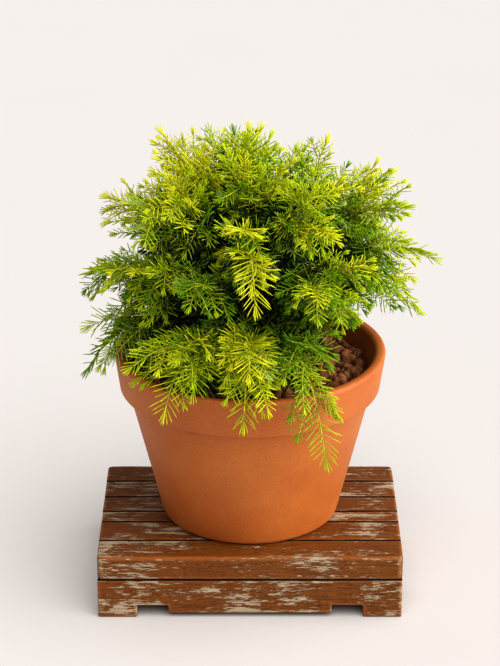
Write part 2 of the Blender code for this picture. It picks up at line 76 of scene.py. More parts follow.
# %% [markdown]
# ## Small helpers
# A lesson reads better when the same few moves have a name. Pieces are made with bmesh,
# turned into an object that stays at the origin, given a material and ridden on the root
# body, and the solids they stand for are hidden. Edges are rounded by a bevel, and
# `add_number` leaves a number on each point for a material to read.


# %% Helpers for pieces
SHARP_ANGLE = math.radians(40)


def as_object(name, mesh):
    obj = bpy.data.objects.new(name, mesh)
    bpy.context.scene.collection.objects.link(obj)
    return obj


def mesh_from(bm, name):
    bmesh.ops.recalc_face_normals(bm, faces=bm.faces)
    mesh = bpy.data.meshes.new(name)
    bm.to_mesh(mesh)
    bm.free()
    return mesh


def shade_smooth(mesh):
    mesh.shade_smooth()
    mesh.set_sharp_from_angle(angle=SHARP_ANGLE)


def round_edges(bm, edges, radius, segments):
    bmesh.ops.bevel(
        bm,
        geom=edges,
        offset=radius,
        affect="EDGES",
        segments=segments,
        profile=0.5,
        material=-1,
    )


def count_triangles(mesh):
    return sum(len(face.vertices) - 2 for face in mesh.polygons)


def dress(name, mesh, finish, nodes):
    """Makes the piece with its material, rides it on the root body, and hides the solids that it
    stands for.
    """
    mesh.materials.append(finish)
    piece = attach(as_object(name, mesh), "root")
    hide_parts(*nodes)
    print(f"{name}: {count_triangles(mesh)} triangles")
    return piece


def nodes_named(start):
    return sorted(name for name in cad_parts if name.startswith(start))


def add_number(mesh, name, values):
    attribute = mesh.attributes.new(name, "FLOAT", "POINT")
    attribute.data.foreach_set("value", np.asarray(values, np.float32).ravel())


# %% [markdown]
# ## A short way to wire shader nodes
# Node trees grow long when every node takes four lines. `add` makes a node and either sets
# each input or links it, so that a material below reads as a list of what it does. Most of
# them are layers: one colour is laid over another where a value is high.


# %% Helpers for nodes
def add(tree, kind, inputs=None, **settings):
    node = tree.nodes.new(kind)
    for key, value in settings.items():
        setattr(node, key, value)
    for key, value in (inputs or {}).items():
        if isinstance(value, bpy.types.NodeSocket):
            tree.links.new(value, node.inputs[key])
        else:
            node.inputs[key].default_value = value
    return node


def tint(red, green, blue):
    """A colour as a screen shows it, 0 to 255, in the linear values that shaders use."""
    shares = [c / 255 for c in (red, green, blue)]
    return (*(s / 12.92 if s <= 0.04045 else ((s + 0.055) / 1.055) ** 2.4 for s in shares), 1)


def noise_value(tree, vector, scale, detail=2, roughness=0.5):
    inputs = {"Vector": vector, "Scale": scale, "Detail": detail, "Roughness": roughness}
    return add(tree, "ShaderNodeTexNoise", inputs).outputs["Fac"]


def stretched(tree, vector, scale):
    return add(tree, "ShaderNodeMapping", {"Vector": vector, "Scale": scale}).outputs["Vector"]


def calc(tree, operation, first, second):
    node = add(tree, "ShaderNodeMath", {0: first, 1: second}, operation=operation)
    return node.outputs["Value"]


def ramp(tree, value, low, high):
    """0 below low, 1 above high, and a straight rise between them."""
    inputs = {"Value": value, "From Min": low, "From Max": high}
    return add(tree, "ShaderNodeMapRange", inputs).outputs["Result"]


def blend(tree, factor, first, second):
    inputs = {0: factor, 6: first, 7: second}
    return add(tree, "ShaderNodeMix", inputs, data_type="RGBA").outputs[2]


def layer(tree, under, value, low, high, over):
    """A colour laid over another: not at all where the value is low, and fully where high."""
    return blend(tree, ramp(tree, value, low, high), under, over)


# %% [markdown]
# ## Groups and materials
# What several materials share becomes a node group: it gets named sockets, and is used like
# one node. A group here gives only numbers, colours or masks, and each material has its own
# shader, so that a reader finds the whole finish in one place. Points of an object carry
# numbers, such as which board they are on, and an Attribute node reads them.


# %% Groups, materials and bump
def new_group(name, inputs, outputs):
    """An empty node group with named sockets, with its input sockets and output sockets."""
    kinds = {"colour": "NodeSocketColor", "value": "NodeSocketFloat", "vector": "NodeSocketVector"}
    group = bpy.data.node_groups.new(name, "ShaderNodeTree")
    for direction, sockets in (("INPUT", inputs), ("OUTPUT", outputs)):
        for socket, kind in sockets.items():
            group.interface.new_socket(name=socket, in_out=direction, socket_type=kinds[kind])
    return group, add(group, "NodeGroupInput").outputs, add(group, "NodeGroupOutput").inputs


def give(tree, sockets, **values):
    """Links each value to the socket of that name, where _ stands for a space."""
    for socket, value in values.items():
        tree.links.new(value, sockets[socket.replace("_", " ")])


def use_group(tree, group, **values):
    inputs = {key.replace("_", " "): value for key, value in values.items()}
    return add(tree, "ShaderNodeGroup", inputs, node_tree=group).outputs


def new_material(name, roughness, specular=0.5):
    """A material with one Principled shader: its tree, shader and Object coordinates."""
    made = bpy.data.materials.new(name)
    made.use_nodes = True
    tree = made.node_tree
    shader = tree.nodes["Principled BSDF"]
    shader.inputs["Roughness"].default_value = roughness
    shader.inputs["Specular IOR Level"].default_value = specular
    place = add(tree, "ShaderNodeTexCoord").outputs["Object"]
    return made, tree, shader, place


def number_from(tree, name):
    return add(tree, "ShaderNodeAttribute", attribute_name=name).outputs["Fac"]


def bump(tree, shader, height, distance, strength=1.0):
    inputs = {"Height": height, "Distance": distance, "Strength": strength}
    give(tree, shader.inputs, Normal=add(tree, "ShaderNodeBump", inputs).outputs["Normal"])


# %% [markdown]
# ## Worn wood as a node group
# The stand is stained softwood whose finish has flaked off in ragged patches that follow
# the grain. A picture could paint that, but a picture stretches and repeats. Noise that is
# drawn out along the grain makes the fine dark streaks, the short pores and, cut off sharply
# at one level, the flakes. Both directions of board use it, so it is a group.


# %% Group: worn grain
def worn_grain_group():
    tree, given, result = new_group(
        "worn grain",
        {"Vector": "vector", "Edge": "value", "Wear Level": "value"},
        {"Worn": "value", "Streaks": "value", "Pores": "value", "Height": "value"},
    )

    def marks(stretch, scale, detail, roughness=0.5):
        """Noise drawn out along the grain: the smaller the stretch, the longer its marks."""
        vector = stretched(tree, given["Vector"], (stretch, 1, 1))
        return noise_value(tree, vector, scale, detail, roughness)

    flakes = marks(0.16, 330, 4, 0.6)
    clusters = marks(0.4, 60, 2)
    ragged = marks(0.12, 1500, 2, 0.6)
    level = calc(tree, "MULTIPLY", flakes, 0.5)
    for part, share in ((clusters, 0.5), (ragged, 0.4), (given["Edge"], 0.03)):
        level = calc(tree, "ADD", level, calc(tree, "MULTIPLY", part, share))
    above = calc(tree, "SUBTRACT", level, given["Wear Level"])
    worn = ramp(tree, above, 0.0, 0.006)
    streaks = ramp(tree, marks(0.05, 760, 4, 0.7), 0.34, 0.68)
    pores = ramp(tree, marks(0.14, 2300, 1), 0.56, 0.66)
    height = calc(tree, "SUBTRACT", calc(tree, "MULTIPLY", streaks, 0.35), worn)
    give(tree, result, Worn=worn, Streaks=streaks, Pores=pores, Height=height)
    return tree


worn_grain = worn_grain_group()

# %% [markdown]
# ## Mottling as a node group
# Wood, fired clay, granules and bark are all uneven in the same two ways: broad soft patches,
# and a fine speckle. One group gives both as numbers around a half, and each material says
# how large the patches and the specks are.

# %% Group: mottling
mottling, given, result = new_group(
    "mottling",
    {"Vector": "vector", "Patch Scale": "value", "Speck Scale": "value"},
    {"Patches": "value", "Specks": "value"},
)
patches = noise_value(mottling, given["Vector"], given["Patch Scale"], 3, 0.55)
specks = noise_value(mottling, given["Vector"], given["Speck Scale"], 2, 0.6)
give(mottling, result, Patches=patches, Specks=specks)

# %% [markdown]
# ## Material: stained wood
# The stain is a warm red brown with darker streaks, and where it has flaked the bare wood
# shows, grey tan and dull. Every board is cut from another plank, so each carries a number
# that shifts the pattern. Two more numbers mark the worn edges, where the stain is thin and
# lighter with a painted highlight, and the faces that look into a gap, which get a painted
# shade. Boards run along X and the side aprons along Y: a Mapping node turns the pattern for
# those.


# %% Stained wood
WEAR_LEVEL = 0.755  # the higher, the less of the stain has flaked off


def stained_wood(name, quarter_turn):
    made, tree, shader, place = new_material(name, 0.5, 0.15)
    shift = stretched(tree, number_from(tree, "board"), (0.37, 0.13, 0.71))
    place = add(tree, "ShaderNodeVectorMath", {0: place, 1: shift}).outputs["Vector"]
    turn = {"Vector": place, "Rotation": (0, 0, math.radians(-90 if quarter_turn else 0))}
    place = add(tree, "ShaderNodeMapping", turn).outputs["Vector"]
    edge = number_from(tree, "edge")
    grain = use_group(tree, worn_grain, Vector=place, Edge=edge, Wear_Level=WEAR_LEVEL)
    tone = use_group(tree, mottling, Vector=place, Patch_Scale=24, Speck_Scale=1400)
    stain = blend(tree, grain["Streaks"], tint(86, 47, 17), tint(136, 82, 32))
    stain = layer(tree, stain, tone["Patches"], 0.3, 0.9, tint(114, 61, 22))
    stain = blend(tree, grain["Pores"], stain, tint(74, 39, 14))
    # lighter stain along the edges: thin worn stain, and a painted highlight where the rounded
    # edges catch light
    stain = blend(tree, calc(tree, "MULTIPLY", edge, 0.5), stain, tint(160, 92, 40))
    bare = blend(tree, grain["Streaks"], tint(148, 128, 102), tint(186, 168, 140))
    bare = layer(tree, bare, tone["Specks"], 0.55, 0.75, tint(116, 90, 62))
    colour = blend(tree, grain["Worn"], stain, bare)
    # painted shade: faces that look into a gap, or between a board and an apron, go almost black
    colour = blend(tree, number_from(tree, "gap"), colour, tint(30, 16, 8))
    dull_where_worn = {"Value": grain["Worn"], "To Min": 0.36, "To Max": 0.85}
    rough = add(tree, "ShaderNodeMapRange", dull_where_worn).outputs["Result"]
    give(tree, shader.inputs, Base_Color=colour, Roughness=rough)
    bump(tree, shader, grain["Height"], 0.00025)
    return made


wood_along_x = stained_wood("stained_wood_lengthwise", False)
wood_along_y = stained_wood("stained_wood_crosswise", True)

# %% [markdown]
# ## The stand
# Six boards lie on a low frame of four aprons, whose feet are left when the notches are cut.
# The edges of handled wood wander by a fraction of a millimetre and are never sharp: noise
# moves the points a little, and a bevel then rounds the edges, which is what catches the
# light along the front. The points along the edges are marked for wear and for a painted
# highlight. Blender's noise vectors start from the clock, so a seed is set once, and every run
# gives the same wood. Faces that look into a gap between two pieces, or between a board and an
# apron, are marked for a painted shade that makes them almost black.

# %% Worn edges, painted edge highlight and painted gap shade
EDGE_ROUNDING = 0.0012
EDGE_WANDER = 0.0003
WANDER_SCALE = 60
WANDER_SEED = 1
CREASE = math.radians(50)  # edges sharper than this are rounded
# a strip this wide along the edges is marked for wear and a painted highlight
WEAR_AND_HIGHLIGHT_MARGIN = 0.0020
FLAT = 0.985  # at least this much of a face's direction points straight to its side
CORNER_RADIUS = 0.0032  # of the stand's four corners
# For the painted shade of faces that look into a gap:
TO_NEIGHBOUR = 0.2  # at least this much of a point's direction, on a side that faces a board
BURIED = (0.1, 0.45)  # how far a surface turns away before it is as dark as the gap
SIDES = [Vector(sign * v for v in axis) for axis in Matrix.Identity(3) for sign in (1, -1)]

noise.seed_set(WANDER_SEED)
board_boxes = [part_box(node) for node in nodes_named("stand_board_")]
stand_front = min(low.y for low, high in board_boxes)
stand_back = max(high.y for low, high in board_boxes)


def wear_edges(bm, offset):
    """Lets the edges wander, rounds them, and marks the points along them for wear and a painted
    highlight.
    """
    lowest = min(v.co.z for v in bm.verts)
    for vert in bm.verts:
        vert.co += noise.noise_vector(vert.co * WANDER_SCALE + offset) * EDGE_WANDER
        vert.co.z = max(vert.co.z, lowest)
    sharp = [e for e in bm.edges if e.calc_face_angle(0) > CREASE]
    round_edges(bm, sharp, EDGE_ROUNDING, 3)
    bm.normal_update()
    for side in SIDES:
        flat = [f for f in bm.faces if f.normal.dot(side) > FLAT]
        bmesh.ops.inset_region(bm, faces=flat, thickness=WEAR_AND_HIGHLIGHT_MARGIN, use_boundary=True)
    bm.normal_update()
    # the points along the edges, read for wear and for a painted highlight
    edge = bm.verts.layers.float.new("edge")
    for vert in bm.verts:
        vert[edge] = any(max(f.normal.dot(s) for s in SIDES) < FLAT for f in vert.link_faces)


def at_outside(y):
    return min(abs(y - stand_front), abs(y - stand_back)) < CORNER_RADIUS / 2


def gap_shade(mesh, is_board):
    """1 where a surface faces its neighbour, for a painted shade that makes the gaps between the
    pieces look dark.
    """
    values = []
    for vert in mesh.vertices:
        turned_in = vert.normal.z
        if is_board:
            faces_neighbour = abs(vert.normal.y) > TO_NEIGHBOUR and not at_outside(vert.co.y)
            turned_in = 1 if faces_neighbour else -vert.normal.z
        share = (turned_in - BURIED[0]) / (BURIED[1] - BURIED[0])
        values.append(min(1.0, max(0.0, share)))
    return values


# %% [markdown]
# ## Boards and aprons
# A board is a box, cut across along its length so that it can wander. The outer edges of the
# first and the last board are rounded more, as the stand's corners are. An apron is an outline
# with feet, notches and a low belly, pulled up to its thickness.

# %% Boards and aprons
LENGTH_CUTS = 24
APRON_FEET = {"long": (0.0285, 0.0227), "short": (0.012, 0.018)}  # foot, notch
NOTCH_HEIGHT = 0.0097
BELLY_HEIGHT = 0.0034


def board(number, node):
    low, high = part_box(node)
    shape = Matrix.Translation((low + high) / 2) @ Matrix.Diagonal((*(high - low), 1))
    bm = bmesh.new()
    bmesh.ops.create_cube(bm, size=1, matrix=shape)
    upright = [e for e in bm.edges if abs(e.verts[0].co.z - e.verts[1].co.z) > 1e-4]
    round_edges(bm, [e for e in upright if at_outside(e.verts[0].co.y)], CORNER_RADIUS, 4)
    long_edges = [e for e in bm.edges if e.calc_length() > (high.x - low.x) / 3]
    bmesh.ops.subdivide_edges(bm, edges=long_edges, cuts=LENGTH_CUTS, use_grid_fill=True)
    wear_edges(bm, Vector((number, 0, 0)))
    return mesh_from(bm, node)


def apron(number, node, kind):
    low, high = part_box(node)
    size = high - low
    length, thickness = max(size.x, size.y), min(size.x, size.y)
    foot, notch = APRON_FEET[kind]
    half = length / 2
    inner = half - foot
    belly = inner - notch
    right = [(half, size.z), (half, 0), (inner, 0), (inner, NOTCH_HEIGHT), (belly, NOTCH_HEIGHT)]
    right.append((belly, BELLY_HEIGHT))
    outline = right + [(-x, z) for x, z in reversed(right)]
    bm = bmesh.new()
    face = bm.faces.new([bm.verts.new((x, -thickness / 2, z)) for x, z in outline])
    made = bmesh.ops.extrude_face_region(bm, geom=[face], use_keep_orig=True)
    moved = [g for g in made["geom"] if isinstance(g, bmesh.types.BMVert)]
    bmesh.ops.translate(bm, verts=moved, vec=(0, thickness, 0))
    wear_edges(bm, Vector((number, 5, 0)))
    turn = Matrix.Rotation(math.pi / 2 if size.y > size.x else 0, 4, "Z")
    middle = (low + high) / 2
    place = Matrix.Translation((middle.x, middle.y, low.z)) @ turn
    bmesh.ops.transform(bm, matrix=place, verts=bm.verts)
    return mesh_from(bm, node)


for number, node in enumerate(nodes_named("stand_")):
    sideways = node.endswith(("left", "right"))
    if "board" in node:
        mesh = board(number, node)
    else:
        mesh = apron(number, node, "short" if sideways else "long")
    shade_smooth(mesh)
    add_number(mesh, "board", [number] * len(mesh.vertices))
    # painted shade for the gaps between the pieces
    add_number(mesh, "gap", gap_shade(mesh, "board" in node))
    finish = wood_along_y if sideways else wood_along_x
    dress(node.replace("stand_", "wood_"), mesh, finish, [node])

# %% [markdown]
# ## Material: terracotta
# Unglazed clay scatters light evenly, so it is rough, with hardly any shine. Its colour is
# never quite even: the kiln leaves broad soft patches, and grog and sand leave specks. The
# same specks, raised by a fraction of a millimetre, give it its dry feel.

# %% Terracotta
terracotta, tree, shader, place = new_material("terracotta", 0.58, 0.4)
tone = use_group(tree, mottling, Vector=place, Patch_Scale=16, Speck_Scale=1000)
clay = layer(tree, tint(166, 84, 26), tone["Patches"], 0.25, 0.75, tint(190, 110, 44))
clay = layer(tree, clay, tone["Specks"], 0.56, 0.84, tint(144, 68, 28))
clay = layer(tree, clay, tone["Specks"], 0.42, 0.15, tint(206, 124, 70))
give(tree, shader.inputs, Base_Color=clay)
bump(tree, shader, tone["Specks"], 0.00028, 0.9)

# %% [markdown]
# ## The pot
# A pot is thrown on a wheel, so it is one profile turned about an axis: `spin` does exactly
# that. The profile is the solid's, and the sharp corners are rounded afterwards by a bevel,
# because clay never keeps a knife edge. A slow wave of a few tenths of a millimetre keeps it
# from looking machined.

# %% Turned pot
POT_STEPS = 120
POT_FOOT_Z, RIM_Z = pot_low.z, pot_high.z
RIM_RADIUS = (pot_high.x - pot_low.x) / 2
RIM_THICKNESS = 0.0078
BAND_Z = RIM_Z - 0.0289
BAND_FOOT_RADIUS = 0.0958
BODY_TOP_RADIUS = 0.0902
BASE_RADIUS = 0.0649
INNER_TOP_RADIUS = 0.0842
INNER_BASE_RADIUS = 0.0594
FLOOR_THICKNESS = 0.009
DRAIN_RADIUS = 0.008
LIP_ROUNDING = 0.0033
CORNER_ROUNDING = 0.0011
BASE_ROUNDING = 0.0034
POT_WAVE = 0.0003
POT_WAVE_SCALE = 14
CLOSE = 1e-5


def turned(profile, steps):
    """A closed profile of (radius, height) points, turned about the pot's axis."""
    bm = bmesh.new()
    verts = [bm.verts.new((r, 0, z)) for r, z in profile]
    edges = [bm.edges.new(pair) for pair in zip(verts, verts[1:] + verts[:1])]
    bmesh.ops.spin(
        bm,
        geom=verts + edges,
        cent=(0, 0, 0),
        axis=(0, 0, 1),
        angle=math.tau,
        steps=steps,
        use_merge=True,
    )
    bmesh.ops.remove_doubles(bm, verts=bm.verts, dist=1e-6)
    return bm


def lies_on(edge, circle):
    """Whether both ends of an edge are on a circle of this radius, at this height."""
    radius, z = circle
    ends = [vert.co for vert in edge.verts]
    return all(abs(co.z - z) < CLOSE and abs(co.to_2d().length - radius) < CLOSE for co in ends)


def round_circles(bm, circles, radius, segments):
    found = [e for e in bm.edges if any(lies_on(e, circle) for circle in circles)]
    round_edges(bm, found, radius, segments)


inner_rim = RIM_RADIUS - RIM_THICKNESS
bm = turned(
    [
        (DRAIN_RADIUS, POT_FOOT_Z),
        (BASE_RADIUS, POT_FOOT_Z),
        (BODY_TOP_RADIUS, BAND_Z),
        (BAND_FOOT_RADIUS, BAND_Z),
        (RIM_RADIUS, RIM_Z),
        (inner_rim, RIM_Z),
        (INNER_TOP_RADIUS, BAND_Z),
        (INNER_BASE_RADIUS, POT_FOOT_Z + FLOOR_THICKNESS),
        (DRAIN_RADIUS, POT_FOOT_Z + FLOOR_THICKNESS),
    ],
    POT_STEPS,
)
round_circles(bm, [(RIM_RADIUS, RIM_Z), (inner_rim, RIM_Z)], LIP_ROUNDING, 6)
round_circles(bm, [(BASE_RADIUS, POT_FOOT_Z)], BASE_ROUNDING, 5)
round_circles(bm, [(BAND_FOOT_RADIUS, BAND_Z)], CORNER_ROUNDING, 4)
round_circles(bm, [(BODY_TOP_RADIUS, BAND_Z)], CORNER_ROUNDING, 3)
for vert in bm.verts:
    vert.co.xy += noise.noise_vector(vert.co * POT_WAVE_SCALE).xy * POT_WAVE
bmesh.ops.translate(bm, verts=bm.verts, vec=PLACE)
mesh = mesh_from(bm, "pot")
shade_smooth(mesh)
dress("turned_pot", mesh, terracotta, ["pot"])

# %% [markdown]
# ## Material: clay granules
# The filling is fired clay too, but broken and rolled: red brown to dark brown, no two
# alike, and pitted. Each granule carries a number that picks its shade, and the body under
# them carries a low one, a painted shade in the darkest tone.

# %% Clay granules, finish
granule_clay, tree, shader, place = new_material("clay_granules", 0.88, 0.3)
tone = use_group(tree, mottling, Vector=place, Patch_Scale=260, Speck_Scale=1500)
shade = number_from(tree, "shade")
# the filling body's low number gives it the darkest tone, a painted shade between the granules
clay = blend(tree, shade, tint(100, 56, 30), tint(172, 110, 64))
clay = layer(tree, clay, tone["Patches"], 0.42, 0.7, tint(76, 40, 20))
clay = layer(tree, clay, tone["Specks"], 0.58, 0.8, tint(196, 134, 88))
give(tree, shader.inputs, Base_Color=clay)
bump(tree, shader, tone["Specks"], 0.0007, 0.9)

# %% [markdown]
# ## Many copies of one small shape
# Granules and needles come in thousands. Real copies, one mesh of them all, survive the
# export, and numpy places them in one step: every copy is the shape's points times its own
# matrix. The shape itself is made with bmesh like any piece, with only a few faces.


# %% Scattered copies
def numbers_of(items, name, width=1, kind=np.float32):
    values = np.empty(len(items) * width, kind)
    items.foreach_get(name, values)
    return values.reshape(-1, width) if width > 1 else values


def scattered(name, shape, places):
    """One mesh of copies of a shape, placed by an array of 3 by 4 matrices."""
    points = numbers_of(shape.vertices, "co", 3)
    corners = numbers_of(shape.loops, "vertex_index", kind=np.int32)
    starts = numbers_of(shape.polygons, "loop_start", kind=np.int32)
    copies = np.arange(len(places))[:, None]
    moved = np.einsum("nij,kj->nki", places[:, :, :3], points) + places[:, None, :, 3]
    mesh = bpy.data.meshes.new(name)
    mesh.vertices.add(len(places) * len(points))
    mesh.vertices.foreach_set("co", moved.astype(np.float32).ravel())
    mesh.loops.add(len(places) * len(corners))
    mesh.loops.foreach_set("vertex_index", (corners + copies * len(points)).ravel())
    mesh.polygons.add(len(places) * len(starts))
    mesh.polygons.foreach_set("loop_start", (starts + copies * len(corners)).ravel())
    mesh.update(calc_edges=True)
    mesh.shade_smooth()
    return mesh


def merged(name, meshes):
    """One mesh of several, keeping what each point carries."""
    bm = bmesh.new()
    for mesh in meshes:
        bm.from_mesh(mesh)
    return mesh_from(bm, name)


# %% [markdown]
# ## The filling
# The pot is filled with fired clay granules to just below its rim. Physics could drop them
# in, but below the surface they never show, so a single layer of rows, each granule moved a
# little off its place, is enough. A few more lie loose on those, most of them near the wall.

# %% Where the granules lie
SOIL_Z = RIM_Z - 0.0145
SOIL_MOUND = 0.002
SUNK = 0.0022  # the middle of a granule lies this far below the surface
GRANULE_RADIUS = 0.0044
GRANULE_SPACING = 0.0084
ROW_SHARE = 0.87  # of that spacing, from row to row
SPOT_PLAY = 0.0012
LAYER_PLAY = (-0.0008, 0.0012)
ROOT_ROOM = 0.010  # kept free round the trunk
LOOSE_GRANULES = 110
LOOSE_HEIGHTS = (0.003, 0.0042)  # above the layer
LOOSE_SHARES = (0.12, 1)  # of the filling's area, so that few lie near the trunk
WALL_ROOM = 0.007
rng = random.Random(21)


def mound_height(distance):
    return SOIL_Z + SOIL_MOUND * (1 - distance / INNER_TOP_RADIUS) - SUNK


wall = INNER_TOP_RADIUS + (inner_rim - INNER_TOP_RADIUS) * (SOIL_Z - BAND_Z) / (RIM_Z - BAND_Z)
spots = []
rows = math.ceil(wall / GRANULE_SPACING)
for row in range(-rows, rows + 1):
    for column in range(-rows, rows + 1):
        x = (column + 0.5 * (row % 2)) * GRANULE_SPACING
        spot = Vector((x, row * GRANULE_SPACING * ROW_SHARE, 0))
        spot += Vector((rng.uniform(-1, 1), rng.uniform(-1, 1), 0)) * SPOT_PLAY
        if ROOT_ROOM < spot.length < wall - GRANULE_RADIUS * 1.1:
            spot.z = mound_height(spot.length) + rng.uniform(*LAYER_PLAY)
            spots.append(spot)
for _ in range(LOOSE_GRANULES):
    angle = rng.uniform(0, math.tau)
    distance = (wall - WALL_ROOM) * math.sqrt(rng.uniform(*LOOSE_SHARES))
    spot = Vector((math.cos(angle) * distance, math.sin(angle) * distance, 0))
    spot.z = mound_height(distance) + rng.uniform(*LOOSE_HEIGHTS)
    spots.append(spot)
print(f"{len(spots)} granules")

# %% [markdown]
# ## The granules themselves
# A granule is a rolled lump, no two alike. A cube cut once and pushed out to a ball has only
# 24 faces, and noise makes it a lump. Six such lumps, each copy turned and stretched another
# way, are enough that none looks like its neighbour.

# %% Loose granules
LUMPS = 6
LUMP_SCALE = 2.1
LUMP_RELIEF = 0.45
GRANULE_SIZES = (0.82, 1.22)


def lump(seed):
    bm = bmesh.new()
    bmesh.ops.create_cube(bm, size=1)
    bmesh.ops.subdivide_edges(bm, edges=bm.edges, cuts=1, use_grid_fill=True)
    for vert in bm.verts:
        vert.co = vert.co.normalized()
        vert.co *= 1 + LUMP_RELIEF * noise.noise(vert.co * LUMP_SCALE + Vector((seed * 7, 0, 0)))
    return mesh_from(bm, f"lump_{seed}")


places = [[] for _ in range(LUMPS)]
for spot in spots:
    turn = Matrix.Rotation(rng.uniform(0, math.tau), 3, "Z")
    turn = turn @ Matrix.Rotation(rng.uniform(0, math.tau), 3, "X")
    sizes = [GRANULE_RADIUS * rng.uniform(*GRANULE_SIZES) for _ in range(3)]
    shape = turn @ Matrix.Diagonal(sizes)
    places[rng.randrange(LUMPS)].append([[*row, at] for row, at in zip(shape, spot + PLACE)])
meshes = []
for seed in range(LUMPS):
    mesh = scattered(f"lumps_{seed}", lump(seed), np.array(places[seed]))
    shades = [rng.random() for _ in places[seed]]
    add_number(mesh, "shade", np.repeat(shades, len(mesh.vertices) // len(shades)))
    meshes.append(mesh)
dress("loose_granules", merged("granules", meshes), granule_clay, ["soil"])

# %% [markdown]
# ## The filling under them
# One plain body, turned like the pot and a little smaller than its inside, carries the layer.
# It has the darkest tone, a painted shade, so that the gaps between the granules look deep.

# %% Filling
FILLING_GAP = 0.0006  # to the pot's inside
FILLING_STEPS = 64
FILLING_PAINTED_SHADE = -0.4
bm = turned(
    [
        (0, POT_FOOT_Z + FLOOR_THICKNESS + FILLING_GAP),
        (INNER_BASE_RADIUS - FILLING_GAP, POT_FOOT_Z + FLOOR_THICKNESS + FILLING_GAP),
        (INNER_TOP_RADIUS - FILLING_GAP, BAND_Z),
        (wall - FILLING_GAP, mound_height(wall)),
        (wall * 0.5, mound_height(wall * 0.5)),
        (0, mound_height(0)),
    ],
    FILLING_STEPS,
)
bmesh.ops.dissolve_degenerate(bm, dist=1e-6, edges=bm.edges)
bmesh.ops.translate(bm, verts=bm.verts, vec=PLACE)
mesh = mesh_from(bm, "filling")
# a painted shade: the filling gets the darkest tone
add_number(mesh, "shade", [FILLING_PAINTED_SHADE] * len(mesh.vertices))
shade_smooth(mesh)
dress("granule_filling", mesh, granule_clay, ["soil"])

# %% [markdown]
# ## Where the plant grows
# The solid masses grow by one rule from a table of masses: where each stem begins and ends,
# and how its sprays hang. The same table and the same rule are written again here, with the
# same seeds and the same order of draws, so each spray below runs where its solid is.

# %% The table of masses
GAP = 0.0003
GOLDEN_ANGLE = math.radians(137.5)


class Mass(NamedTuple):
    """One mass of foliage. Each pair is a distance from the pot's axis and a height."""

    name: str
    degrees: float  # where it grows to: 0 is +X, 270 the front
    root_z: float  # where its bough leaves the trunk, or 0 if its stem grows on the trunk
    begin: tuple  # where its stem begins
    reach: tuple  # where its stem ends
    lead: float  # the length of its leading spray
    droop: float  # how far its sprays bend down


class Spray(NamedTuple):
    root: Vector
    direction: Vector
    length: float
    droop: float
    roll: float


def ring(kind, root_heights, places, **common):
    """Masses round the trunk. Each place is its side, its degrees and what differs there."""
    masses = []
    for number, (side, degrees, differs) in enumerate(places):
        root_z = root_heights[number % len(root_heights)]
        masses.append(Mass(f"{kind}_{side}", degrees, root_z, **{**common, **differs}))
    return masses


LOW = ring(
    "low",
    (0.196, 0.202, 0.190),
    (
        ("left", 192, {}),
        ("front_left", 240, {"droop": 1.9}),
        ("front", 270, {"droop": 1.9}),
        ("front_right", 294, {"lead": 0.080, "droop": 2.0}),
        ("right", 330, {"reach": (0.066, 0.226), "lead": 0.044, "droop": 0.5}),
        ("back_right", 12, {"reach": (0.082, 0.220), "droop": 1.8}),
        ("back", 58, {}),
        ("back_left", 102, {}),
        ("far_left", 148, {}),
    ),
    begin=(0.030, 0.204),
    reach=(0.080, 0.206),
    lead=0.056,
    droop=1.5,
)
MIDDLE = ring(
    "mid",
    (0.227, 0.218),
    (
        ("left", 180, {"reach": (0.080, 0.234), "lead": 0.060, "droop": 1.4}),
        ("front_left", 212, {"reach": (0.072, 0.244), "droop": 1.3}),
        ("front", 246, {"reach": (0.062, 0.244), "droop": 1.2}),
        ("front_right", 308, {}),
        ("right", 350, {"reach": (0.086, 0.260), "droop": 1.6}),
        ("back_right", 38, {}),
        ("back", 84, {}),
        ("back_left", 130, {}),
    ),
    begin=(0.024, 0.236),
    reach=(0.073, 0.252),
    lead=0.055,
    droop=0.9,
)
SHOULDER = ring(
    "shoulder",
    (0,),
    (
        ("left", 172, {"begin": (0, 0.246), "reach": (0.064, 0.262), "droop": 1.2}),
        ("front_left", 212, {}),
        ("front", 270, {"begin": (0, 0.250), "lead": 0.062, "reach": (0.070, 0.280), "droop": 2.1}),
        ("front_right", 308, {}),
        ("right", 348, {"begin": (0, 0.246), "reach": (0.072, 0.290), "droop": 0.3}),
        ("back", 68, {"reach": (0.053, 0.274)}),
    ),
    begin=(0, 0.255),
    reach=(0.053, 0.289),
    lead=0.052,
    droop=0.6,
)
UPPER = ring(
    "upper",
    (0,),
    (
        ("left", 190, {"reach": (0.035, 0.299)}),
        ("front", 280, {"begin": (0, 0.268), "reach": (0.028, 0.302), "droop": 0.4}),
        ("right", 18, {"begin": (0, 0.262), "reach": (0.056, 0.290), "lead": 0.056}),
        ("back", 118, {"begin": (0, 0.275), "reach": (0.032, 0.298)}),
    ),
    begin=(0, 0.272),
    reach=(0.035, 0.304),
    lead=0.050,
    droop=0.2,
)
TRUNK_TOP_Z = 0.286
CROWN_TOP = Mass("crown_top", 150, 0, (0, TRUNK_TOP_Z), (0.006, 0.303), 0.046, 0.1)
MASSES = (*LOW, *MIDDLE, *SHOULDER, *UPPER, CROWN_TOP)
print(f"{len(MASSES)} masses, {len(nodes_named('foliage_'))} solid ones in the frame")

# %% [markdown]
# ## Trunk, boughs and stems
# The trunk leans a little and flares at its foot. A bough is one curve from the trunk's skin
# to where its mass begins, and the stem of the mass runs on from there. They are only lines
# at this point: what grows on them is worked out first, and the bark comes later.

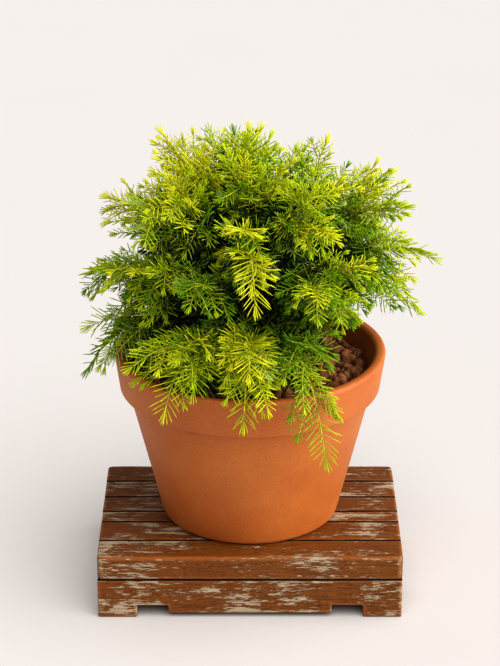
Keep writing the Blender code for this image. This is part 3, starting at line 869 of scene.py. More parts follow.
# %% Lines of trunk, boughs and stems
TRUNK_FOOT_Z = SOIL_Z + SOIL_MOUND + GAP
TRUNK_RADIUS = 0.0078
TRUNK_TOP_RADIUS = 0.0026
FLARE_RADIUS = 0.0125
FLARE_HEIGHT = 0.016
TRUNK_LEAN = Vector((-0.006, 0.004, 0))
LEAN_CURVE = 1.5
BOUGH_RADIUS = 0.0031
BOUGH_TIP_RADIUS = 0.0018
STEM_RADIUS = 0.0016
STEM_TIP_RADIUS = 0.0009
LIMB_STEPS = 3
BOUGH_BEND = (0.35, 0.75)  # of its way out and of its rise, where a bough's curve is pulled to
STEM_BEND = 0.5  # of its length, straight on from the bough
TRUNK_STEM_BEND = (0.3, 0.6)  # of its way out and of its rise
TOP_BEND = 0.5


def between(ends, share):
    return ends[0] + (ends[1] - ends[0]) * share


def trunk_point(z):
    share = (z - TRUNK_FOOT_Z) / (TRUNK_TOP_Z - TRUNK_FOOT_Z)
    return Vector((0, 0, z)) + TRUNK_LEAN * share**LEAN_CURVE


def trunk_radius(z):
    share = (z - TRUNK_FOOT_Z) / (TRUNK_TOP_Z - TRUNK_FOOT_Z)
    flare = max(0.0, 1 - (z - TRUNK_FOOT_Z) / FLARE_HEIGHT) ** 2
    return between((TRUNK_RADIUS, TRUNK_TOP_RADIUS), share) + (FLARE_RADIUS - TRUNK_RADIUS) * flare


def bezier(start, bend, end):
    shares = [k / LIMB_STEPS for k in range(LIMB_STEPS + 1)]
    return [start * (1 - t) ** 2 + bend * 2 * t * (1 - t) + end * t * t for t in shares]


def outward(mass):
    azimuth = math.radians(mass.degrees)
    return Vector((math.cos(azimuth), math.sin(azimuth), 0))


def trunk_skin(mass, z):
    return trunk_point(z) + outward(mass) * (trunk_radius(z) + GAP)


def bough_path(mass):
    """From the trunk's skin, rising, to the place where the mass begins."""
    radius, height = mass.begin
    start = trunk_skin(mass, mass.root_z)
    end = outward(mass) * radius + UP * height
    out, rise = BOUGH_BEND
    bend = start + outward(mass) * radius * out + UP * (height - mass.root_z) * rise
    return bezier(start, bend, end)


def stem_path(mass):
    """The stem of a mass: on from its bough's tip, out of the trunk's skin, or off its top."""
    end = outward(mass) * mass.reach[0] + UP * mass.reach[1]
    if mass.root_z:
        bough_points = bough_path(mass)
        onward = (bough_points[-1] - bough_points[-2]).normalized()
        start = bough_points[-1] + onward * GAP
        bend = start + onward * (end - start).length * STEM_BEND
    elif mass.begin[1] < TRUNK_TOP_Z:
        start = trunk_skin(mass, mass.begin[1])
        out, rise = TRUNK_STEM_BEND
        bend = start + outward(mass) * mass.reach[0] * out + UP * (end - start).z * rise
    else:
        start = trunk_point(TRUNK_TOP_Z) + UP * GAP
        bend = start + UP * (end - start).z * TOP_BEND
    return bezier(start, bend, end)


stems = {mass.name: stem_path(mass) for mass in MASSES}
boughs = {mass.name: bough_path(mass) for mass in MASSES if mass.root_z}
print(f"{len(boughs)} boughs and {len(stems)} stems")

# %% [markdown]
# ## Room for each shoot
# Before a shoot is kept, points along it are tested: they have to be clear of the pot, of
# the granules and of every limb, and nearer to their own stem than to any other mass's. That
# keeps each mass in its own space, and it needs only distances to straight stretches.

# %% Distances
TRUNK_STRETCHES = 12


def path_segments(path, radius):
    return [(a, b, radius) for a, b in zip(path, path[1:])]


def rows(vectors):
    """An array with one row for each vector."""
    return np.array([tuple(vector) for vector in vectors])


def packed(segments):
    """The segments as arrays: starts, axes and radii."""
    starts = rows(a for a, _, _ in segments)
    axes = rows(b - a for a, b, _ in segments)
    return starts, axes, np.array([r for _, _, r in segments])


def distances(points, segments):
    """How far each point is from the nearest of the segments' surfaces."""
    starts, axes, radii = segments
    away = points[:, None, :] - starts
    share = np.clip((away * axes).sum(2) / (axes**2).sum(1), 0, 1)
    return (np.linalg.norm(away - share[..., None] * axes, axis=2) - radii).min(1)


def in_pot(points, room, granule_room):
    """Which points are in the granules, the band or the wall under it, or too near them."""
    r = np.hypot(points[:, 0], points[:, 1])
    z = points[:, 2]
    inside = r < inner_rim - room
    in_band = ~inside & (r < RIM_RADIUS + room) & (z < RIM_Z + room)
    in_band &= (z > BAND_Z - room) | (r < BODY_TOP_RADIUS + room)
    return (inside & (z < SOIL_Z + granule_room + room)) | in_band


def trunk_heights(stretches):
    return [between((TRUNK_FOOT_Z, TRUNK_TOP_Z), k / stretches) for k in range(stretches + 1)]


heights = trunk_heights(TRUNK_STRETCHES)
limb_list = []
for low, high in zip(heights, heights[1:]):
    limb_list.append((trunk_point(low), trunk_point(high), trunk_radius(low)))
for path in boughs.values():
    limb_list += path_segments(path, BOUGH_RADIUS)
limbs = packed(limb_list)
others = {}
for mass in MASSES:
    rest = [path_segments(path, 0) for name, path in stems.items() if name != mass.name]
    others[mass.name] = packed(sum(rest, []))
print(f"{len(limb_list)} stretches of trunk and boughs")

# %% [markdown]
# ## One solid spray
# A spray of the solid masses is a rib with three large needles at each step along it. Its
# lines are worked out here as they were for the solids: bare at its foot, bending down a
# little more at each step, with one more needle at its end.

# %% Lines of one spray
SPRAY_LENGTH = 0.054
BARE_LENGTH = 0.006
CAD_NEEDLE_SPACING = 0.0130
CAD_NEEDLE_LENGTH = 0.0155
CAD_NEEDLE_ANGLE = math.radians(37)
END_NEEDLE = 0.010
RIB_RADIUS = 0.0011
STEEP = 0.05


def toward(first, second, angle):
    """The first of two directions, turned towards the second by an angle."""
    return first * math.cos(angle) + second * math.sin(angle)


def level_side(heading):
    """A level direction square to a heading, or +X where the heading is nearly upright."""
    side = heading.cross(UP)
    return side.normalized() if side.length > STEEP else Vector((1, 0, 0))


def spray_lines(spray):
    """The solid spray's centre line, its large needles as (foot, tip), and its end."""
    steps = 1 + max(2, round((spray.length - BARE_LENGTH) / CAD_NEEDLE_SPACING))
    needle_step = (spray.length - BARE_LENGTH) / (steps - 1)
    side = level_side(spray.direction)
    heading = spray.direction
    point = spray.root
    centres = [point]
    needles = []
    for i in range(steps):
        face = side.cross(heading)
        step = needle_step if i else BARE_LENGTH
        if i:
            middle = point + heading * step / 2
            for k in (1, 3, 5):
                around = spray.roll + math.tau * k / 6
                lean = toward(heading, toward(side, face, around), CAD_NEEDLE_ANGLE)
                needles.append((middle, middle + lean * CAD_NEEDLE_LENGTH))
        point = point + heading * step
        centres.append(point)
        heading = (heading - UP * spray.droop / steps).normalized()
    return centres, needles, point + heading * END_NEEDLE


def spray_segments(spray):
    centres, needles, end = spray_lines(spray)
    line = centres[1:] + [end]
    return [(a, b, RIB_RADIUS) for a, b in [*zip(line, line[1:]), *needles]]


level_spray = Spray(Vector((0, 0, 0)), Vector((1, 0, 0)), SPRAY_LENGTH, 0, 0)
print(f"a spray of {SPRAY_LENGTH * 1000:.0f} mm has {len(spray_segments(level_spray))} stretches")

# %% [markdown]
# ## The sprays of the solid masses
# Nine sprays are tried on each stem, each up to twenty times, shorter and closer in each
# time. The first leads on from the stem, and the others stand round it, a golden angle apart,
# as real shoots do. A table of finished sprays could be copied here instead, but a rule can
# be read. The draws come in the same order as for the solids.

# %% Tries of a spray
SPRAYS = 9  # that are tried on a stem: the leading one and eight at its sides
LEAD_SHARE = 0.93
SIDE_SHARES = (0.86, 0.20)
LEAD_SPREAD = math.radians(8)
SIDE_SPREAD = (math.radians(34), math.radians(68))
SIDE_DROOP = 0.7
TURN_PLAY = 0.7
ROLL_PLAY = 0.6
LENGTH_PLAY = (0.9, 1.05)
DROOP_PLAY = (0.8, 1.1)
TRIES = 20
SHORTEST = 0.55
NARROWEST = 0.25


def along(path, share):
    """The point and the direction at this share of a path."""
    place = share * (len(path) - 1)
    i = min(int(place), len(path) - 2)
    return path[i].lerp(path[i + 1], place - i), (path[i + 1] - path[i]).normalized()


def spray_tries(mass, path, k, turn, rng):
    share = LEAD_SHARE if k == 0 else between(SIDE_SHARES, (k - 1) / (SPRAYS - 2))
    root, forward = along(path, share)
    side = forward.cross(UP).normalized()
    lift = side.cross(forward)
    tries = []
    for number in range(TRIES):
        late = number / (TRIES - 1)
        around = turn + rng.uniform(-TURN_PLAY, TURN_PLAY)
        spread = rng.uniform(0, LEAD_SPREAD) if k == 0 else rng.uniform(*SIDE_SPREAD)
        spread *= between((1, NARROWEST), late)
        direction = toward(forward, toward(side, lift, around), spread)
        length = (mass.lead if k == 0 else SPRAY_LENGTH) * rng.uniform(*LENGTH_PLAY)
        length *= between((1, SHORTEST), late)
        droop = mass.droop * (1 if k == 0 else SIDE_DROOP) * rng.uniform(*DROOP_PLAY)
        tries.append(Spray(root, direction, length, droop, rng.uniform(-ROLL_PLAY, ROLL_PLAY)))
    return tries


print(f"up to {len(MASSES) * SPRAYS} sprays")

# %% [markdown]
# ## The sprays that find room
# A try is kept when points along it are clear of the pot, of every limb and of the sprays
# before it, and nearest to their own stem. The ones that are kept are the skeleton of the
# crown, each where its solid is.

# %% Sprays
SPRAY_CLEARANCE = 0.0006
SPACE_CLEARANCE = 0.0004
BODY_CLEARANCE = 0.0012
PROBE_SHARES = (0.25, 0.5, 0.75, 1)
CAD_GRANULE_RADIUS = 0.0052
CROWN_SEED = 1100


def mass_sprays(mass, number):
    """The sprays that fit: clear of pot, limbs and each other, and nearest to their own stem."""
    rng = random.Random(CROWN_SEED + number)
    own = packed(path_segments(stems[mass.name], 0))
    turn = rng.uniform(0, math.tau)
    sprays = []
    taken = []
    for k in range(SPRAYS):
        turn += GOLDEN_ANGLE
        for spray in spray_tries(mass, stems[mass.name], k, turn, rng):
            segments = spray_segments(spray)
            probes = rows(a.lerp(b, share) for a, b, _ in segments for share in PROBE_SHARES)
            if in_pot(probes, BODY_CLEARANCE, CAD_GRANULE_RADIUS).any():
                continue
            if distances(probes, limbs).min() < BODY_CLEARANCE:
                continue
            if taken and distances(probes, packed(taken)).min() < SPRAY_CLEARANCE:
                continue
            nearest = distances(probes, others[mass.name])
            if (distances(probes, own) + SPACE_CLEARANCE < nearest).all():
                sprays.append(spray)
                taken += segments
                break
    return sprays


sprays = {mass.name: mass_sprays(mass, number) for number, mass in enumerate(MASSES)}
print(f"{sum(map(len, sprays.values()))} sprays grow in {len(sprays)} masses")

# %% [markdown]
# ## From sprays to shoots
# A real spray is a main shoot with shorter ones at its sides, each on a slim green rib. They
# are grown as lines first: a mesh would only be in the way while they are bent, turned and
# tried. The main one follows the solid's rib, on a smooth curve through its points.

# %% Lines of shoots
STATION = 0.0018  # from point to point of a shoot, which each bear a pair of needles or one


class Shoot(NamedTuple):
    mass: Mass
    line: list  # points, a station apart
    roll: float
    leading: bool
    inner: bool


def smooth_line(points, spacing):
    """Points at about this spacing on a smooth curve through the given ones."""
    before = points[0] * 2 - points[1]
    after = points[-1] * 2 - points[-2]
    knots = [before, *points, after]
    line = []
    for a, b, c, d in zip(knots, knots[1:], knots[2:], knots[3:]):
        steps = max(1, round((c - b).length / spacing))
        for k in range(steps):
            t = k / steps
            square = 2 * a - 5 * b + 4 * c - d
            cube = 3 * b - a - 3 * c + d
            line.append(b + ((c - a) * t + square * t**2 + cube * t**3) / 2)
    return line + [points[-1]]


def grown_line(root, direction, length, bend):
    """A line from root that sets out in a direction and bends evenly by this vector."""
    steps = max(3, round(length / STATION))
    points = [root]
    heading = direction
    for _ in range(steps):
        points.append(points[-1] + heading * length / steps)
        heading = (heading + bend / steps).normalized()
    return points


def directions_at(line, i):
    """The heading of a line at point i, and a level side and a face square to it."""
    heading = (line[min(i + 1, len(line) - 1)] - line[max(i - 1, 0)]).normalized()
    side = level_side(heading)
    return heading, side, side.cross(heading)


line = smooth_line(spray_lines(level_spray)[0], STATION)
print(f"its main shoot has {len(line)} points")

# %% [markdown]
# ## Room for a shoot
# A shoot has to stay inside its own mass and clear of everything else. At the right the photo
# shows granules with nothing low above them, so that place stays clear too.

# %% Room for a shoot
SHOOT_ROOM = 0.0007
NEEDLE_ROOM = 0.003  # that a shoot leaves its needles, inside the box of its solid mass
CLEARING = (-56, 34)  # degrees round the pot
CLEARING_START = 0.046
CLEARING_HEIGHT = 0.210
PROBE_STEP = 3
FIRST_PROBE = {"stem": 2, "bough": 5}


def in_clearing(point):
    degrees = math.degrees(math.atan2(point.y, point.x))
    between_sides = CLEARING[0] < degrees < CLEARING[1]
    return between_sides and point.to_2d().length > CLEARING_START and point.z < CLEARING_HEIGHT


reaches = {}
for mass in MASSES:
    low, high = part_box(f"foliage_{mass.name}")
    reaches[mass.name] = np.array(low - PLACE) + NEEDLE_ROOM, np.array(high - PLACE) - NEEDLE_ROOM


def has_room(line, mass, on_bough):
    """Whether a line stays clear of everything, but for its first few points."""
    first = FIRST_PROBE["bough" if on_bough else "stem"]
    tested = line[first::PROBE_STEP] + [line[-1]]
    if any(in_clearing(point) for point in tested):
        return False
    probes = rows(tested)
    low, high = reaches[mass.name]
    if not on_bough and ((probes < low).any() or (probes > high).any()):
        return False
    if in_pot(probes, SHOOT_ROOM, GRANULE_RADIUS).any():
        return False
    if distances(probes, limbs).min() < SHOOT_ROOM:
        return False
    own = packed(path_segments(stems[mass.name], 0))
    return bool((distances(probes, own) < distances(probes, others[mass.name])).all())


print(f"the boxes of {len(reaches)} masses bound their shoots")

# %% [markdown]
# ## Side shoots
# A side shoot sets out at an angle, turns towards its parent's heading and sags. Each is
# tried a few times, shorter and closer in every time, so that crowded places fill with short
# ones. One that never finds room is left out.

# %% Side shoots
SIDE_SHOOT_ANGLE = (0.6, 1.25)
PLACE_PLAY = (0.2, 0.9)
SIZE_PLAY = (0.7, 1.15)
ATTEMPTS = 5
CLOSER = 0.1  # to the parent's heading, each attempt
SHORTER = 0.16
STRAIGHTEN = (0, 0.6)  # how far a shoot turns towards its parent's heading
SAG = 0.3  # how far it bends down, and a share of its mass's droop on top
SAG_SHARE = (0.1, 0.6)


def side_shoots(parent, mass, spacing, lengths, rng, turn=GOLDEN_ANGLE, on_bough=False, inner=True):
    """Shoots off a line. lengths gives their range, from its foot to its tip."""
    found = []
    count = int((len(parent) - 1) * STATION / spacing)
    for k in range(count):
        share = (k + rng.uniform(*PLACE_PLAY)) / count
        i = min(len(parent) - 2, int(share * (len(parent) - 1)))
        heading, side, face = directions_at(parent, i)
        for attempt in range(ATTEMPTS):
            around = turn * k + rng.uniform(-TURN_PLAY, TURN_PLAY)
            angle = rng.uniform(*SIDE_SHOOT_ANGLE) * (1 - CLOSER * attempt)
            direction = toward(heading, toward(side, face, around), angle)
            length = between(lengths, share) * rng.uniform(*SIZE_PLAY) * (1 - SHORTER * attempt)
            bend = heading * rng.uniform(*STRAIGHTEN)
            bend -= UP * (SAG + mass.droop * rng.uniform(*SAG_SHARE))
            line = grown_line(parent[i], direction, length, bend)
            if has_room(line, mass, on_bough):
                found.append(Shoot(mass, line, rng.uniform(-1.0, 1.0), False, inner))
                break
    return found


print(f"each side shoot gets {ATTEMPTS} attempts")

# %% [markdown]
# ## The crown's shoots
# Side shoots leave the inner part of each main shoot, whose outer part stays bare, so that
# its needles show like the barbs of a feather. On a spray that hangs they are few and lie to
# its two sides; on one that stands they go round it. More short ones fill the crown, straight
# off stems and boughs. Some masses are fuller or thinner, which gives the crown its outline.

# %% All shoots
HANGING = (0.0064, math.pi, 0.56)  # side shoots: their spacing, turn, and how far out
STANDING = (0.0030, GOLDEN_ANGLE, 0.82)
HANGING_DROOP = 1.4  # masses that bend down more than this hang
SIDE_SHOOT_SHARES = (0.60, 0.36)  # of the main shoot's length, at its foot and further out
STEM_SHOOT_SPACING = 0.0015
STEM_SHOOT_LENGTHS = (0.034, 0.018)
BOUGH_SHOOT_SPACING = 0.0019
BOUGH_SHOOT_LENGTHS = (0.020, 0.034)
MOST_CLEARED = 1 / 3  # of a main shoot may lie over the clearing
FULLER = {  # how much longer a mass's side shoots are
    "mid_left": 1.35,
    "mid_back_left": 1.35,
    "shoulder_left": 1.45,
    "shoulder_front_left": 1.3,
    "shoulder_right": 1.35,
    "shoulder_front_right": 1.2,
    "upper_right": 0.75,
    "mid_right": 1.2,
    "mid_back_right": 1.25,
    "low_front_left": 1.35,
    "low_front": 1.35,
    "low_left": 1.2,
    "upper_left": 1.5,
    "upper_back": 0.85,
}

shoots = []
for number, mass in enumerate(MASSES):
    rng = random.Random(CROWN_SEED * 2 + number)
    fuller = FULLER.get(mass.name, 1)
    for spray in sprays[mass.name]:
        line = smooth_line(spray_lines(spray)[0], STATION)
        if sum(in_clearing(point) for point in line) > len(line) * MOST_CLEARED:
            continue
        shoots.append(Shoot(mass, line, spray.roll, True, False))
        lengths = [spray.length * fuller * share for share in SIDE_SHOOT_SHARES]
        spacing, turn, share = HANGING if mass.droop > HANGING_DROOP else STANDING
        branched = line[: round(len(line) * share)]
        shoots += side_shoots(branched, mass, spacing, lengths, rng, turn, inner=False)
    line = smooth_line(stems[mass.name], STATION)
    lengths = [length * fuller for length in STEM_SHOOT_LENGTHS]
    shoots += side_shoots(line, mass, STEM_SHOOT_SPACING, lengths, rng)
    if mass.root_z:
        line = smooth_line(boughs[mass.name], STATION)
        spacing, lengths = BOUGH_SHOOT_SPACING, BOUGH_SHOOT_LENGTHS
        shoots += side_shoots(line, mass, spacing, lengths, rng, on_bough=True)
print(f"{len(shoots)} shoots, {sum(shoot.leading for shoot in shoots)} of them main ones")

# %% [markdown]
# ## The needle
# A needle is soft, flat and pointed, a little over a millimetre wide. A short three-sided
# prism with a point added at each end is enough at this size: nine faces, with its middle
# pushed out so that the needle curves in towards its shoot.

# %% One needle
NEEDLE_WIDTH = 0.00120
NEEDLE_THICKNESS = 0.0008
PRISM_RADII = (0.40, 0.5)  # of the needle of length 1 and width 1
PRISM_LENGTH = 0.68
PRISM_MIDDLE = 0.46
NEEDLE_BOW = 0.6


def needle_shape():
    """A needle of length 1 along +Y, of width 1 along X, bowed towards +Z."""
    bm = bmesh.new()
    bmesh.ops.create_cone(
        bm,
        cap_ends=True,
        segments=3,
        radius1=PRISM_RADII[0],
        radius2=PRISM_RADII[1],
        depth=PRISM_LENGTH,
        matrix=Matrix.Translation((0, PRISM_MIDDLE, 0)) @ Matrix.Rotation(-math.pi / 2, 4, "X"),
    )
    caps = [f for f in bm.faces if len(f.verts) == 3]
    for vert in bmesh.ops.poke(bm, faces=caps)["verts"]:
        vert.co = Vector((0, 1, 0)) if vert.co.y > PRISM_MIDDLE else Vector((0, 0, 0))
    for vert in bm.verts:
        vert.co.z += NEEDLE_BOW * math.sin(math.pi * min(vert.co.y, 1)) ** 2
    return mesh_from(bm, "needle")


one_needle = needle_shape()
needle_points = numbers_of(one_needle.vertices, "co", 3)
print(f"a needle has {len(one_needle.polygons)} faces, {len(needle_points)} points")

# %% [markdown]
# ## A colour for each shoot
# The colour is dealt out by shoot, not by needle, as on the real plant. Where the shoot lies
# gives a painted light and shade: the outermost and topmost shoots are gold and lime, those
# further in are green, and those inside are nearly black. A few anywhere are pale. Some
# masses get more painted light or painted shade as a whole, as the photo shows, and slow
# noise makes neighbours alike.

# %% Colours of the shoots
KINDS = ("gold", "lime", "green", "deep", "pale")
PALE_SHARE = 0.04
LEAST_LIGHT = {"gold": 0.78, "lime": 0.55, "green": 0.30}
CROWN_RADIUS = 0.118
CROWN_LOW = 0.20
CROWN_HEIGHT = 0.145
OUT_LIGHT = 0.5  # what a tip gains at that radius, then at that height, then from noise
RISE_LIGHT = 0.55
CLUSTER_LIGHT = 0.22
CLUSTER_SCALE = 22
CLUSTER_SHIFT = Vector((3, 8, 5))
LIGHT_PLAY = 0.12
# painted shade for the shoots of stems and boughs, which lie inside the crown
INSIDE_SHADE = 0.47  # how much darker the shoots of stems and boughs are
OPEN_MASSES = ("low_front", "low_right", "low_back_right", "mid_back_right")
OPEN_SHARE = 0.35  # of that shade, where light falls in between the shoots
FRINGE = 0.78  # of the way out from the crown's middle: nothing past it is nearly black
FRINGE_MIDDLE = 0.235
FRINGE_HEIGHT = 0.115
FRINGE_LIGHT = 0.34
# painted light added to a mass as a whole, and painted shade where it is below 0
MASS_PAINTED_LIGHT = {
    "crown_top": 0.12,
    "upper_left": 0.24,
    "upper_front": 0.12,
    "shoulder_left": 0.10,
    "shoulder_front": 0.16,
    "low_front": 0.34,
    "low_front_right": 0.14,
    "low_front_left": 0.30,
    "mid_front_left": 0.10,
    "low_left": 0.18,
    "low_far_left": -0.05,
    "mid_right": -0.06,
    "shoulder_right": -0.10,
    "mid_front": -0.10,
    "mid_back_right": 0.12,
    "low_right": 0.16,
    "low_back_right": 0.16,
}


def kind_of(shoot, rng):
    """The colour of a shoot, a painted light and shade: brighter the further out and up it is."""
    tip = shoot.line[-1]
    name = shoot.mass.name
    out = tip.to_2d().length / CROWN_RADIUS
    rise = (tip.z - CROWN_LOW) / CROWN_HEIGHT
    cluster = noise.noise(tip * CLUSTER_SCALE + CLUSTER_SHIFT)
    # painted light: brighter colours for tips further out and up, and for some masses as a whole
    light = OUT_LIGHT * out + RISE_LIGHT * rise + CLUSTER_LIGHT * cluster + MASS_PAINTED_LIGHT.get(name, 0)
    # painted shade: the shoots inside the crown are dealt darker colours, less where light falls in
    inside = INSIDE_SHADE * (OPEN_SHARE if name.startswith(OPEN_MASSES) else 1)
    light += rng.gauss(0, LIGHT_PLAY) - (inside if shoot.inner else 0)
    if math.hypot(out, (tip.z - FRINGE_MIDDLE) / FRINGE_HEIGHT) > FRINGE:
        light = max(light, FRINGE_LIGHT)
    if rng.random() < PALE_SHARE:
        return "pale"
    return next((kind for kind, least in LEAST_LIGHT.items() if light > least), "deep")


# %% [markdown]
# ## Needles on the shoots
# Needles sit in pairs along a shoot, out to its sides, long on the main shoots and shorter on
# the others. Between two pairs a still shorter one stands up, and on the crowded shoots inside
# the crown every second of these stands down, so the shoot is flat but not thin. They stand
# off steeply at the foot of the shoot, each a little differently, and close up into a tuft at
# its tip.

# %% Needle places
NEEDLE_LENGTH = 0.0150
SIDE_NEEDLE_LENGTH = 0.0104
HANGING_SHARE = 1.15  # of that length, on the shoots that hang
UPRIGHT = math.pi / 2
UPRIGHT_SHARE = 0.62  # of a side needle's length
FIRST_NEEDLE = 2
FOOT_ANGLE = math.radians(60)
TIP_ANGLE = math.radians(36)
ANGLE_PLAY = 0.17
AROUND_PLAY = 0.4
NEEDLE_PLAY = (0.84, 1.12)
FOOT_SWELL = (0.55, 1.8)  # the share of its length at the foot, and how fast it grows from there
TIP_SWELL = (0.64, 1.6)
TUFT_NEEDLES = 5
TUFT_LENGTHS = (0.58, 0.76)
TUFT_STEP = 4  # degrees that each needle of the tuft leans out more than the one before


class Needle(NamedTuple):
    root: Vector
    axis: Vector
    bow: Vector  # the side to which its middle is pushed out
    length: float
    youth: float  # 0 at the foot of its shoot and 1 at the tip


def needle_places(shoot, rng):
    line = shoot.line
    last = len(line) - 1
    full = NEEDLE_LENGTH if shoot.leading else SIDE_NEEDLE_LENGTH
    if shoot.mass.droop > HANGING_DROOP:
        full *= HANGING_SHARE
    found = []

    def grow(i, around, angle, length, youth):
        heading, side, face = directions_at(line, i)
        lean = toward(side, face, around)
        axis = toward(heading, lean, angle)
        found.append(Needle(line[i], axis, toward(lean, -heading, angle), length, youth))

    for i in range(FIRST_NEEDLE, last):
        share = i / last
        from_foot = FOOT_SWELL[0] + FOOT_SWELL[1] * share
        swell = min(1.0, from_foot, TIP_SWELL[0] + TIP_SWELL[1] * (1 - share))
        angle = between((FOOT_ANGLE, TIP_ANGLE), share**4)
        upright = UPRIGHT * (1 if i % 4 == 1 else -1)
        if i % 4 == 3 and not shoot.inner:
            continue
        for around in (upright,) if i % 2 else (0, math.pi):
            length = full * swell * (UPRIGHT_SHARE if i % 2 else 1) * rng.uniform(*NEEDLE_PLAY)
            around += shoot.roll + rng.uniform(-AROUND_PLAY, AROUND_PLAY)
            grow(i, around, angle + rng.uniform(-ANGLE_PLAY, ANGLE_PLAY), length, share)
    for k in range(TUFT_NEEDLES):
        lean = math.radians(TUFT_STEP * (k + 1))
        grow(last, shoot.roll + GOLDEN_ANGLE * k, lean, full * rng.uniform(*TUFT_LENGTHS), 1.0)
    return found


example = needle_places(shoots[0], random.Random(0))
print(f"a shoot of {len(shoots[0].line)} points bears {len(example)} needles")

# %% [markdown]
# ## Needles that stay clear
# A needle of a real plant bends aside where it meets something. Here the few that would
# reach into the pot, the granules or a limb are left out: their middles and tips are tested.

# %% Needles of each colour
LIMB_GAP = 0.0003

kept = {kind: [] for kind in KINDS}
rng = random.Random(CROWN_SEED * 3)
for shoot in shoots:
    kept[kind_of(shoot, rng)] += needle_places(shoot, rng)
for kind, needles in kept.items():
    bad = np.zeros(len(needles), bool)
    for share in (0.5, 1):
        ends = rows(needle.root + needle.axis * needle.length * share for needle in needles)
        bad |= in_pot(ends, 0, GRANULE_RADIUS) | (distances(ends, limbs) < LIMB_GAP)
    kept[kind] = [needle for needle, out in zip(needles, bad) if not out]
    print(f"{kind}: {len(kept[kind])} needles, {bad.sum()} left out")

# %% [markdown]
# ## Material: needles
# All five finishes share one idea: a needle is paler at its tip and where it is young, and
# the colour drifts a little from spray to spray. A group mixes a deep and a bright colour by
# the number that each point carries and by slow noise; each finish gives its own two
# colours. The finish of a shoot is dealt by where it lies in the crown, so the five are also
# a painted light and shade, on top of what the lamps and shadows do. The deep one is nearly
# black, as the photo is between its shoots: a painted shade.

# %% Needle tone and the five finishes
needle_tone, given, result = new_group(
    "needle tone",
    {"Vector": "vector", "Youth": "value", "Deep": "colour", "Bright": "colour"},
    {"Colour": "colour"},
)
drift = noise_value(needle_tone, given["Vector"], 45, 2)
drift = calc(needle_tone, "MULTIPLY", calc(needle_tone, "SUBTRACT", drift, 0.5), 1.1)
youth = calc(needle_tone, "ADD", given["Youth"], drift)
tone = layer(needle_tone, given["Deep"], youth, 0.05, 0.95, given["Bright"])
give(needle_tone, result, Colour=tone)


def needle_finish(name, deep, bright):
    made, tree, shader, place = new_material(name, 0.5, 0.16)
    young = number_from(tree, "youth")
    colours = {"Deep": tint(*deep), "Bright": tint(*bright)}
    tone = use_group(tree, needle_tone, Vector=place, Youth=young, **colours)
    give(tree, shader.inputs, Base_Color=tone["Colour"])
    return made


FINISHES = {
    "gold": needle_finish("needles_gold", (166, 166, 4), (224, 226, 38)),
    "lime": needle_finish("needles_lime", (116, 142, 3), (192, 210, 22)),
    "green": needle_finish("needles_green", (50, 90, 4), (128, 168, 14)),
    # nearly black: a painted shade between the shoots
    "deep": needle_finish("needles_deep", (7, 18, 2), (38, 62, 6)),
    "pale": needle_finish("needles_pale", (92, 124, 30), (176, 200, 92)),
}

# %% [markdown]
# ## The needles as pieces
# One mesh of each colour keeps the number of pieces low. Each copy of the needle gets a
# matrix from three directions at right angles: across, along and outward.


# %% Needle pieces
MOST_NEEDLES = 15000  # in one piece
WIDTH_SHARES = (0.76, 1.15)  # of the full width, for a short needle and for a long one
YOUTH = (0.12, 0.38, 0.42)  # of every needle, what the shoot's tip adds, and the needle's tip


def needle_mesh(name, needles):
    roots = rows(needle.root + PLACE for needle in needles)
    axes = rows(needle.axis for needle in needles)
    bows = rows(needle.bow for needle in needles)
    lengths = np.array([needle.length for needle in needles])[:, None]
    ages = np.array([needle.youth for needle in needles])[:, None]
    widths = NEEDLE_WIDTH * np.clip(lengths / NEEDLE_LENGTH, *WIDTH_SHARES)
    across = np.cross(axes, bows) * widths
    places = np.stack([across, axes * lengths, bows * NEEDLE_THICKNESS, roots], axis=2)
    mesh = scattered(name, one_needle, places)
    add_number(mesh, "youth", YOUTH[0] + YOUTH[1] * ages + YOUTH[2] * needle_points[:, 1])
    return mesh


all_foliage = nodes_named("foliage_")
for kind in KINDS:
    parts = math.ceil(len(kept[kind]) / MOST_NEEDLES)
    for part in range(parts):
        name = f"needles_{kind}_{part + 1}"
        mesh = needle_mesh(name, kept[kind][part::parts])
        dress(name, mesh, FINISHES[kind], all_foliage)

# %% [markdown]
# ## Ribs of the shoots
# Every shoot has a rib, yellow green and thin as a wire. Spheres or cylinders in a row would
# show their joints. A curve with a round bevel gives a smooth tapering rod at once, because
# each of its points has its own radius.


# %% Rods from curves
def rods(name, lines, radii, resolution):
    """Round tapering rods along the lines, as one mesh from a bevelled curve."""
    curve = bpy.data.curves.new(name, "CURVE")
    curve.dimensions = "3D"
    curve.bevel_depth = 1
    curve.bevel_resolution = resolution
    curve.use_fill_caps = True
    for line, widths in zip(lines, radii):
        spline = curve.splines.new("POLY")
        spline.points.add(len(line) - 1)
        spline.points.foreach_set("co", [c for p in line for c in (*(p + PLACE), 1)])
        spline.points.foreach_set("radius", widths)
    rod = as_object(name, curve)
    mesh = bpy.data.meshes.new_from_object(rod)
    bpy.data.objects.remove(rod)
    mesh.shade_smooth()
    return mesh


def tapering(ends, count):
    return [between(ends, k / (count - 1)) for k in range(count)]


# %% Ribs of the shoots
RIB_STEP = 3  # every third point of a shoot is enough
MAIN_RIB_RADII = (0.00075, 0.0004)
SIDE_RIB_RADII = (0.0005, 0.0003)

young_bark, tree, shader, place = new_material("young_ribs", 0.55, 0.4)
tone = use_group(tree, mottling, Vector=place, Patch_Scale=60, Speck_Scale=900)
colour = layer(tree, tint(140, 140, 16), tone["Patches"], 0.35, 0.65, tint(196, 198, 40))
give(tree, shader.inputs, Base_Color=colour)

